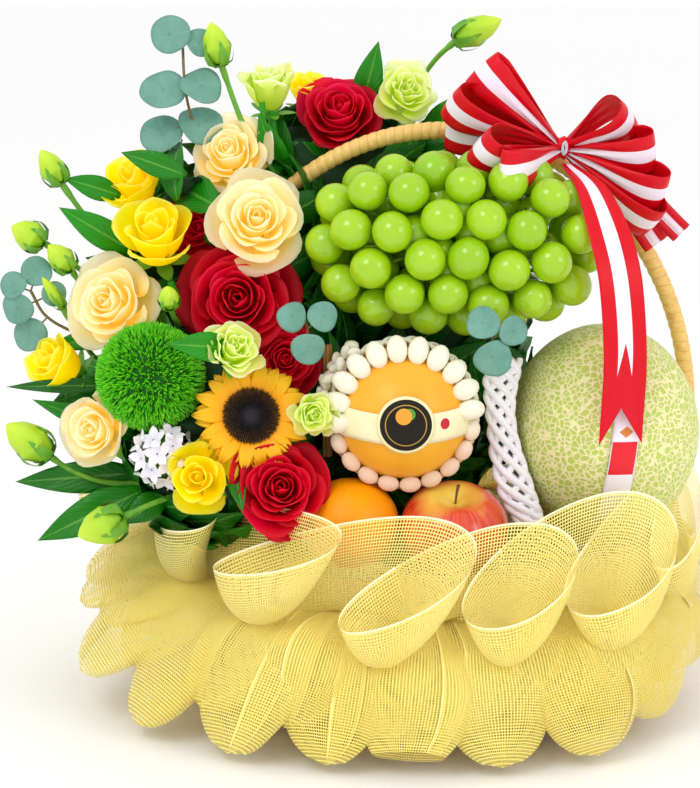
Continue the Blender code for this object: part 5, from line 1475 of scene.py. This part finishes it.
for at, half in CLUMPS:
    mass = ball((0, 0, 0), 1.0, 1.0, 16, 0, 0)
    for vert in mass.data.vertices:
        rough = 0.86 + 0.05 * math.sin(9 * vert.co.x + 3) * math.sin(8 * vert.co.z)
        vert.co = Vector([c + p * h * rough for c, p, h in zip(at, vert.co, half)])
    for vert in mass.data.vertices:
        vert.co = behind_heads(vert.co, -0.002)
    toned(mass, 0.0)
    masses.append(mass)
# Painted shade: the clumps are solid masses painted dark green, for the shade among the leaves packed behind
# the flowers.
deep_shade, tree, shader = new_finish("leaf_masses_painted_shade", {"Roughness": 0.8})
place = add(tree, "ShaderNodeTexCoord")
cloud = mottling(tree, place.outputs["Object"], 55.0, 3.0)
tone = blend(tree, cloud.outputs["Fac"], "03220C", "0C4A18")
coated(tree, shader, tone)
for mass in masses:
    mass.data.materials.append(deep_shade)
leaf_spray = joined("leaf_spray", [leaf_spray, *masses])
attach(leaf_spray, "root")
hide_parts("foliage")

# ---------------------------------------------------------------- cane prop
# A few thin brown canes, tied side by side, that stand between the flowers and the pear.
canes = []
for k in range(5):
    a = 2 * math.pi * k / 5
    foot = Vector((-0.0840 + 0.0024 * math.cos(a), -0.062 + 0.0024 * math.sin(a), 0.190))
    canes.append(tube([foot, foot + Vector((0.0004 * math.sin(3 * k), 0, 0.041)),
                       foot + Vector((0, 0.0005 * math.cos(k), 0.082))],
                      0.0014, 8))
cane_bundle = joined("cane_bundle", canes)
brown_cane, tree, shader = new_finish("brown_cane", {"Roughness": 0.55})
place = add(tree, "ShaderNodeTexCoord")
long_grain = add(tree, "ShaderNodeMapping", {"Scale": (900.0, 900.0, 40.0)},
                 {"Vector": place.outputs["Object"]})
fibre = mottling(tree, long_grain.outputs["Vector"], 1.0, 3.0)
tone = blend(tree, fibre.outputs["Fac"], "8A5E2A", "C99A56")
coated(tree, shader, tone)
cane_bundle.data.materials.append(brown_cane)
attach(cane_bundle, "root")
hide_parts("cane_prop")

# ---------------------------------------------------------------- mesh ruffle
# One wide ribbon of stiff open mesh, woven of yellow plastic thread with a firm pale selvedge. It is
# gathered along a belt under the rim: its upper half stands up in loops that fold back and forth,
# and its lower half hangs out in rolled lobes down to the table.
BELT_Z = 0.096
THREAD_PITCH = 0.0020
# Loops of the upper half, from the left end round by the front: width round the rim in degrees,
# and in metres the height of the crest, the height of the low edge, and the reach out from the wall.
LOOPS = (
    (30, 0.160, 0.138, 0.056), (30, 0.168, 0.126, 0.060),
    (26, 0.172, 0.100, 0.064), (20, 0.166, 0.106, 0.064),
    (28, 0.180, 0.106, 0.058), (26, 0.188, 0.118, 0.034),
    (24, 0.196, 0.122, 0.028), (24, 0.186, 0.116, 0.032),
    (24, 0.176, 0.110, 0.048), (26, 0.170, 0.108, 0.056),
    (26, 0.170, 0.108, 0.056), (26, 0.172, 0.114, 0.066),
    (26, 0.176, 0.128, 0.094), (24, 0.182, 0.142, 0.110))
LEFT_END = -172           # direction where the first loop starts, in degrees
LOOP_STEPS = 128
LOOP_FOOT = 0.008         # distance from the wall where one loop runs into the next
LOOP_SWING = 0.75         # how far a loop runs past its own width, as a share of it
CREST_AT, LOW_AT = 0.12, 0.62    # shares of a loop where its crest and its low edge lie
WALL_LEVEL = 0.110        # level whose outline the loops stand on
ROOT_OUT = 0.006
BELLY_TURN = 0.65         # how far a belly follows its edge round the rim; the rest follows the root
BELLY_OUT, BELLY_EXTRA = 0.90, 0.012
BELLY_DROP, BELLY_LOWEST = 0.058, 0.048
TIPS = (
    (0.191, 0.030, 0.078), (0.192, -0.022, 0.070), (0.184, -0.075, 0.036), (0.152, -0.134, 0.018),
    (0.103, -0.182, 0.009), (0.036, -0.206, 0.007), (-0.028, -0.213, 0.004), (-0.084, -0.202, 0.005),
    (-0.152, -0.180, 0.005), (-0.219, -0.134, 0.012), (-0.262, -0.086, 0.036), (-0.271, -0.034, 0.072),
    (-0.268, 0.022, 0.078), (-0.250, 0.078, 0.044), (-0.206, 0.134, 0.016), (-0.140, 0.180, 0.006),
    (-0.070, 0.202, 0.005), (0.000, 0.206, 0.004), (0.068, 0.192, 0.006), (0.130, 0.152, 0.014),
    (0.170, 0.096, 0.040))


def mesh_finish(name, across, along, thread, light, selvedge="FFF9CC"):
    """Woven mesh with open holes. across and along are the sheet's size, for threads at their spacing."""
    made, tree, shader = new_finish(name, {"Roughness": 0.5, "Specular IOR Level": 0.3, "Sheen Weight": 0.2})
    place = add(tree, "ShaderNodeTexCoord")
    split = axes_of(tree, place.outputs["UV"])
    threads = []
    for axis, size in (("X", across), ("Y", along)):
        scaled = reckoned(tree, "MULTIPLY", split.outputs[axis], 2 * math.pi * round(size / THREAD_PITCH))
        threads.append(reckoned(tree, "COSINE", scaled.outputs[0]))
    top = reckoned(tree, "MAXIMUM", threads[0].outputs[0], threads[1].outputs[0])
    cover = ramp(tree, top.outputs[0], 0.38, 0.62)
    middle = reckoned(tree, "SUBTRACT", split.outputs["X"], 0.5)
    aside = reckoned(tree, "ABSOLUTE", middle.outputs[0])
    hem = ramp(tree, aside.outputs[0], 0.5 - 0.0015 / across, 0.5 - 0.0010 / across)
    opaque = add(tree, "ShaderNodeMath", {"operation": "MAXIMUM", "use_clamp": True},
                 {0: cover.outputs["Result"], 1: hem.outputs["Result"]})
    cloud = mottling(tree, place.outputs["Object"], 18.0, 2.0)
    tone = blend(tree, cloud.outputs["Fac"], thread, light)
    edged = blend(tree, hem.outputs["Result"], tone.outputs[2], selvedge)
    relief = raised(tree, top.outputs[0], 0.1, 0.0003)
    coated(tree, shader, edged)
    tree.links.new(opaque.outputs[0], shader.inputs["Alpha"])
    tree.links.new(relief.outputs["Normal"], shader.inputs["Normal"])
    return made


def belt_point(direction, height, out):
    """A point out from the wall, in a direction round it in radians."""
    share = height / RIM_Z
    wide, deep = FOOT[0] + (RIM[0] - FOOT[0]) * share, FOOT[1] + (RIM[1] - FOOT[1]) * share
    normal = Vector((math.cos(direction) / wide, math.sin(direction) / deep, 0)).normalized()
    return Vector((wide * math.cos(direction), deep * math.sin(direction), height)) + normal * out


def along_loops(values, where):
    """A loop's values, each held at the same share of its loop and blended into the next loop's."""
    return np.interp(loop_turn, np.arange(len(LOOPS)) + where, values, period=len(LOOPS))


loop_wide, loop_crest, loop_low, loop_reach = np.array(LOOPS).T
loop_turn = np.arange(len(LOOPS) * LOOP_STEPS) / LOOP_STEPS
loop_starts = LEFT_END + np.concatenate(([0.0], np.cumsum(loop_wide)))
middles = np.interp(loop_turn, np.arange(len(LOOPS) + 1), loop_starts)
round_loop = 2 * math.pi * loop_turn
# Each loop runs along its far side at a crest, turns round its end and comes back lower and further out.
swings = middles + LOOP_SWING * along_loops(loop_wide, 0.5) * np.sin(round_loop)
outs = LOOP_FOOT + (along_loops(loop_reach, 0.5) - LOOP_FOOT) * np.sin(round_loop / 2) ** 2
lows = along_loops(loop_low, LOW_AT)
rise = (along_loops(loop_crest, CREST_AT) - lows) * (1 + np.cos(round_loop - 2 * math.pi * CREST_AT)) / 2
loop_rows = []
for swing, middle, out, height in zip(swings, middles, outs, lows + rise):
    edge = belt_point(math.radians(swing), WALL_LEVEL, out)
    belly_turn = math.radians(BELLY_TURN * swing + (1 - BELLY_TURN) * middle)
    belly = belt_point(belly_turn, WALL_LEVEL, BELLY_OUT * out + BELLY_EXTRA)
    root = belt_point(math.radians(middle), WALL_LEVEL, ROOT_OUT)
    edge.z, belly.z, root.z = height, max(height - BELLY_DROP, BELLY_LOWEST), BELT_Z + 0.003
    loop_rows.append((tuple(root), tuple(belly), tuple(edge)))
loop_rows = np.array(loop_rows)
loop_run = np.linalg.norm(np.diff(loop_rows[:, 1:].mean(1), axis=0, append=loop_rows[:1, 1:].mean(1)), axis=1)
loop_run = np.concatenate(([0.0], np.cumsum(loop_run)))
LOOP_WIDTH = 0.090


def standing_loops(u, v):
    root, belly, edge = (loop_rows[np.rint(v * len(loop_rows)).astype(int) % len(loop_rows), j]
                         for j in range(3))
    u = u[:, None]
    return tuple(((1 - u) ** 2 * root + 2 * u * (1 - u) * belly + u ** 2 * edge).T)


upper_ruffle = sheet_of(16, len(loop_rows), standing_loops)
upper_ruffle.name = upper_ruffle.data.name = "upper_ruffle"
welded(upper_ruffle, 1e-6)
upper_ruffle.data.materials.append(mesh_finish("yellow_mesh_loops", 2 * LOOP_WIDTH, loop_run[-1], "F8E26A",
                                               "FDF09A"))
uv = upper_ruffle.data.uv_layers.active.data
flat = np.empty(2 * len(uv))
uv.foreach_get("uv", flat)
flat = flat.reshape(-1, 2)
flat[:, 0] = 0.5 + 0.5 * flat[:, 0]
flat[:, 1] = loop_run[np.rint(flat[:, 1] * len(loop_rows)).astype(int)] / loop_run[-1]
uv.foreach_set("uv", flat.ravel())


def gathered(u, v):
    """The pleated foot of the loops, which covers the rim."""
    a = 2 * math.pi * u
    spots = [belt_point(turn, 0.110, 0.0065) for turn in a]
    out = 0.0035 * v + 0.0020 * np.sin(90 * a) + 0.0012 * np.sin(37 * a + 6 * v)
    x, y = np.array([(spot.x, spot.y) for spot in spots]).T
    return x + out * np.cos(a), y + out * np.sin(a), BELT_Z - 0.001 + 0.038 * v + 0.003 * v * np.sin(23 * a)


rim_pleats = sheet_of(900, 5, gathered)
rim_pleats.data.materials.append(mesh_finish("gathered_mesh_foot", 1.06, 0.034, "F8E26A", "FDF09A"))
upper_ruffle = joined("upper_ruffle", [upper_ruffle, rim_pleats])
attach(upper_ruffle, "root")
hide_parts("ruffle_collar")


def lobe(root, tip, wide, fat, start, lift, sway, shut=1.0):
    """A rolled lobe of mesh from the belt to its tip; u goes round the roll, v out along it."""
    run = tip - root
    side = run.cross(Vector((0, 0, 1))).normalized()
    up = side.cross(run).normalized()

    def shape(u, v):
        a = start + 2 * math.pi * 1.10 * u
        t = v * shut
        full = np.where(t < 0.55, 0.42 + 0.58 * np.sin(0.5 * math.pi * t / 0.55) ** 1.2,
                        np.sqrt(np.clip(1 - ((t - 0.55) / 0.45) ** 2, 0, 1)))
        roll = 1 - 0.10 * u + 0.05 * np.sin(3 * a + 6 * v + start) + 0.015 * np.sin(7 * a + 6 * v)
        x = wide * full * roll * np.cos(a) + sway * np.sin(math.pi * v)
        z = fat * full * roll * np.sin(a) + lift * np.sin(math.pi * v ** 0.8)
        spot = [root[k] + run[k] * t + side[k] * x + up[k] * z for k in range(3)]
        return spot[0], spot[1], np.maximum(spot[2], 0.0012)
    return shape


draw = random.Random(23)
lobes = []
for tier in range(2):
    for k, tip in enumerate(TIPS):
        tip = Vector(tip)
        if tier:
            tip = tip.lerp(Vector(TIPS[(k + 1) % len(TIPS)]), 0.5 + draw.uniform(-0.12, 0.12))
        direction = math.atan2(tip.y / RIM[1], tip.x / RIM[0])
        root = belt_point(direction, BELT_Z - 0.002 - 0.004 * tier, 0.003)
        end = root + (tip - root) * ((1.04, 0.88)[tier] + draw.uniform(-0.05, 0.0))
        end.z = max(end.z, 0.008) + 0.012 * tier
        wide = draw.uniform(0.039, 0.051)
        mouth = tier == 0 and k == 6
        lobes.append(sheet_of(44, 26, lobe(root, end, wide, draw.uniform(0.016, 0.023), draw.uniform(0, 6.28),
                                           draw.uniform(0.006, 0.014), draw.uniform(-0.007, 0.007),
                                           0.9 if mouth else 1.0)))
lower_ruffle = joined("lower_ruffle", lobes)
lower_ruffle.data.materials.append(mesh_finish("yellow_mesh_lobes", 0.215, 0.115, "FAE264", "FCEC86",
                                               "FCEE96"))
# Under the lobes, a solid sheet stands in for the gathered layers of mesh: its deeper gold is partly the
# colour of many layers of yellow thread and partly painted shade inside the skirt.
heap = sheet_of(168, 10, lambda u, v: tuple(
    np.array([tuple(belt_point(2 * math.pi * a, 0.104 - 0.092 * b ** 1.5,
                               0.001 + b * (0.030 + 0.010 * math.sin(42 * math.pi * a))))
              for a, b in zip(u, v)]).T))
heap.name = "gathered_mesh_heap"
heap_shade_finish, tree, shader = new_finish("gathered_layers_painted_shade", {"Roughness": 0.6})
place = add(tree, "ShaderNodeTexCoord")
pleats = add(tree, "ShaderNodeMapping", {"Scale": (120.0, 3.0, 1.0)}, {"Vector": place.outputs["UV"]})
fine = mottling(tree, pleats.outputs["Vector"], 1.0, 4.0)
tone = blend(tree, fine.outputs["Fac"], "C08A22", "E6C04C")
coated(tree, shader, tone)
heap.data.materials.append(heap_shade_finish)
lower_ruffle = joined("lower_ruffle", [lower_ruffle, heap])
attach(lower_ruffle, "root")
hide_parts("ruffle_skirt")

# ---------------------------------------------------------------- bow
# A bow of red satin ribbon with a white stripe down its outer side, wound into nine loops and held
# at the knot by a twist of wire. Two short tails fall behind it and one long one in front.
KNOT = Vector((0.086, -0.020, 0.409))
RIBBON = 0.031
BOW_LOOPS = (              # end right, forward and up of the knot, half opening, tilt towards the eye
    (-0.060, 0.012, 0.059, 0.011, 14), (-0.082, 0.018, 0.036, 0.014, 42), (-0.083, -0.002, 0.014, 0.011, 24),
    (-0.063, 0.052, 0.004, 0.014, 46), (-0.046, 0.066, -0.010, 0.010, 16), (0.046, 0.012, 0.027, 0.014, 44),
    (0.064, 0.017, 0.000, 0.012, 26), (0.072, 0.020, -0.029, 0.012, 34), (0.068, 0.012, -0.052, 0.013, 44))


def ribbon_along(path, sides, widths):
    """A flat ribbon laid along a path, with its width direction and half width at each point."""
    path = np.array([tuple(p) for p in path])
    ahead = np.gradient(path, axis=0)
    ahead /= np.linalg.norm(ahead, axis=1)[:, None]
    sides = np.array([tuple(s) for s in sides])
    sides = sides - ahead * (sides * ahead).sum(1)[:, None]
    sides /= np.linalg.norm(sides, axis=1)[:, None]
    normal = np.cross(sides, ahead)
    widths = np.array(widths)

    def shape(u, v):
        k = np.rint(v * (len(path) - 1)).astype(int)
        across = 2 * u - 1
        pinch = np.clip(1 - widths[k] / (0.48 * RIBBON), 0, 1)
        fold = 0.0030 * pinch * np.cos(3 * math.pi * across) + 0.0012 * (1 - across ** 2)
        spot = path[k] + sides[k] * (across * widths[k])[:, None] + normal[k] * fold[:, None]
        return tuple(spot.T)
    return sheet_of(12, len(path) - 1, shape)


def loop_of_bow(right, forward, rise, deep, tilt):
    reach = Vector((right, -forward, rise))
    out, length = reach.normalized(), reach.length
    front = Vector((0, -1, 0))
    front = (front - out * front.dot(out)).normalized()
    above = front.cross(out)
    above = above if above.z > 0 else -above
    front = front * math.cos(math.radians(tilt)) - above * math.sin(math.radians(tilt))
    across = out.cross(front)
    path, widths = [], []
    for k in range(53):
        a = 2 * math.pi * k / 52
        far = 0.5 * (1 - math.cos(a))
        path.append(KNOT + out * length * (0.05 + 0.95 * far ** 0.85)
                    + front * deep * math.sin(a) * (0.25 + 0.95 * far))
        widths.append(0.5 * RIBBON * (0.14 + 0.86 * min(1.0, far * 1.2) ** 0.8))
    return ribbon_along(path, [across] * len(path), widths)


loops = [loop_of_bow(*end) for end in BOW_LOOPS]
for tip, half in (((0.174, -0.020, 0.347), 0.0085), ((0.157, -0.0135, 0.338), 0.0100)):
    tip = Vector(tip)
    line = smooth_path([tuple(KNOT), tuple(KNOT.lerp(tip, 0.5) + Vector((0.004, 0.003, 0.006))),
                        tuple(tip)], 12)
    loops.append(ribbon_along(line, [Vector((-0.5, 0, -1))] * len(line),
                              [0.003 + (half - 0.003) * min(1.0, k / 10) for k in range(len(line))]))
red_loops = joined("red_loops", loops)
striped_satin, tree, shader = new_finish("striped_satin", {
    "Roughness": 0.34, "Specular IOR Level": 0.25, "Anisotropic": 0.4})
place = add(tree, "ShaderNodeTexCoord")
split = axes_of(tree, place.outputs["UV"])
middle = reckoned(tree, "SUBTRACT", split.outputs["X"], 0.5)
aside = reckoned(tree, "ABSOLUTE", middle.outputs[0])
stripe = ramp(tree, aside.outputs[0], 0.165, 0.175, 1.0, 0.0)
threads = add(tree, "ShaderNodeMapping", {"Scale": (260.0, 10.0, 1.0)}, {"Vector": place.outputs["UV"]})
weave = mottling(tree, threads.outputs["Vector"], 1.0, 2.0)
red = blend(tree, weave.outputs["Fac"], "CE0016", "DC021C")
tone = blend(tree, stripe.outputs["Result"], red.outputs[2], "F4E9F6")
relief = raised(tree, weave.outputs["Fac"], 0.12, 0.0003)
coated(tree, shader, tone, relief)
plain_satin, tree, shader = new_finish("plain_satin_back", {"Roughness": 0.42, "Specular IOR Level": 0.25})
place = add(tree, "ShaderNodeTexCoord")
threads = add(tree, "ShaderNodeMapping", {"Scale": (260.0, 10.0, 1.0)}, {"Vector": place.outputs["UV"]})
weave = mottling(tree, threads.outputs["Vector"], 1.0, 2.0)
red = blend(tree, weave.outputs["Fac"], "D80018", "EC0620")
coated(tree, shader, red)


def as_cloth(piece, outside):
    """Gives a ribbon its thickness, with its outer side striped and its inner side plain."""
    piece.data.materials.append(outside)
    piece.data.materials.append(plain_satin)
    thickened(piece, 0.0004, back_material=1)


as_cloth(red_loops, striped_satin)
knot = ball(KNOT, 0.0075, 0.0090, 16, 0, 0)
for vert in knot.data.vertices:
    turn = math.atan2(vert.co.z - KNOT.z, vert.co.x - KNOT.x)
    away = vert.co - KNOT
    vert.co = KNOT + away * (0.92 + 0.08 * math.cos(9 * turn))
knot.data.materials.append(plain_satin)
wire_turns = [tube([KNOT + Vector((0.0014 * math.cos(t) + 0.0006 * k, -0.0092,
                                   0.0042 * math.sin(t) + 0.0007 * k)) for t in
                    (2 * math.pi * s / 24 for s in range(25))], 0.0006, 6) for k in range(3)]
silver_wire, tree, shader = new_finish("silver_tie_wire", {"Metallic": 1.0, "Roughness": 0.3})
place = add(tree, "ShaderNodeTexCoord")
cloud = add(tree, "ShaderNodeTexNoise", {"Scale": 500.0}, {"Vector": place.outputs["Object"]})
tone = blend(tree, cloud.outputs["Fac"], "B8BCC4", "E8EAF0")
coated(tree, shader, tone)
for wire in wire_turns:
    wire.data.materials.append(silver_wire)
satin_bow = joined("satin_bow", [red_loops, knot, *wire_turns])
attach(satin_bow, "root")
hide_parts("bow")

TAIL_LINE = ((0.0890, -0.034, 0.399), (0.104, -0.072, 0.383), (0.118, -0.098, 0.338), (0.124, -0.110, 0.285),
             (0.122, -0.113, 0.240))
line = smooth_path(TAIL_LINE, 14)
line.append(line[-1] + (line[-1] - line[-2]))
path = np.array([tuple(p) for p in line])
steps = len(path) - 1
NOTCH = 0.026


def hanging_tail(u, v):
    across = 1 - 2 * u
    k = np.rint(v * steps).astype(int)
    half = 0.0045 + (0.5 * RIBBON - 0.0045) * np.minimum(1.0, v / 0.40) ** 0.8
    drop = NOTCH * np.abs(across) * np.clip((v - 0.55) / 0.45, 0, 1)
    pleat = 0.0022 * np.clip(1 - v / 0.35, 0, 1) * np.cos(3 * math.pi * across) + 0.0016 * np.sin(9 * v)
    return path[k, 0] + across * half, path[k, 1] + 0.25 * across * half + pleat, path[k, 2] - drop


satin_tail = sheet_of(16, steps, hanging_tail)
satin_tail.name = satin_tail.data.name = "satin_tail"
tail_satin = striped_satin.copy()
tail_satin.name = "striped_satin_tail"
tree = tail_satin.node_tree
shader = tree.nodes["Principled BSDF"]
place = add(tree, "ShaderNodeTexCoord")
split = axes_of(tree, place.outputs["UV"])
middle = reckoned(tree, "SUBTRACT", split.outputs["X"], 0.5)
aside = reckoned(tree, "ABSOLUTE", middle.outputs[0])
slope = add(tree, "ShaderNodeMath", {"operation": "MULTIPLY_ADD", 1: -0.55},
            {0: aside.outputs[0], 2: split.outputs["Y"]})
ended = reckoned(tree, "GREATER_THAN", slope.outputs[0], 0.75)
woven = shader.inputs["Base Color"].links[0].from_socket
plain = blend(tree, ended.outputs[0], woven, "D60620")
coated(tree, shader, plain)
as_cloth(satin_tail, tail_satin)
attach(satin_tail, "root")
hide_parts("bow_long_tail")
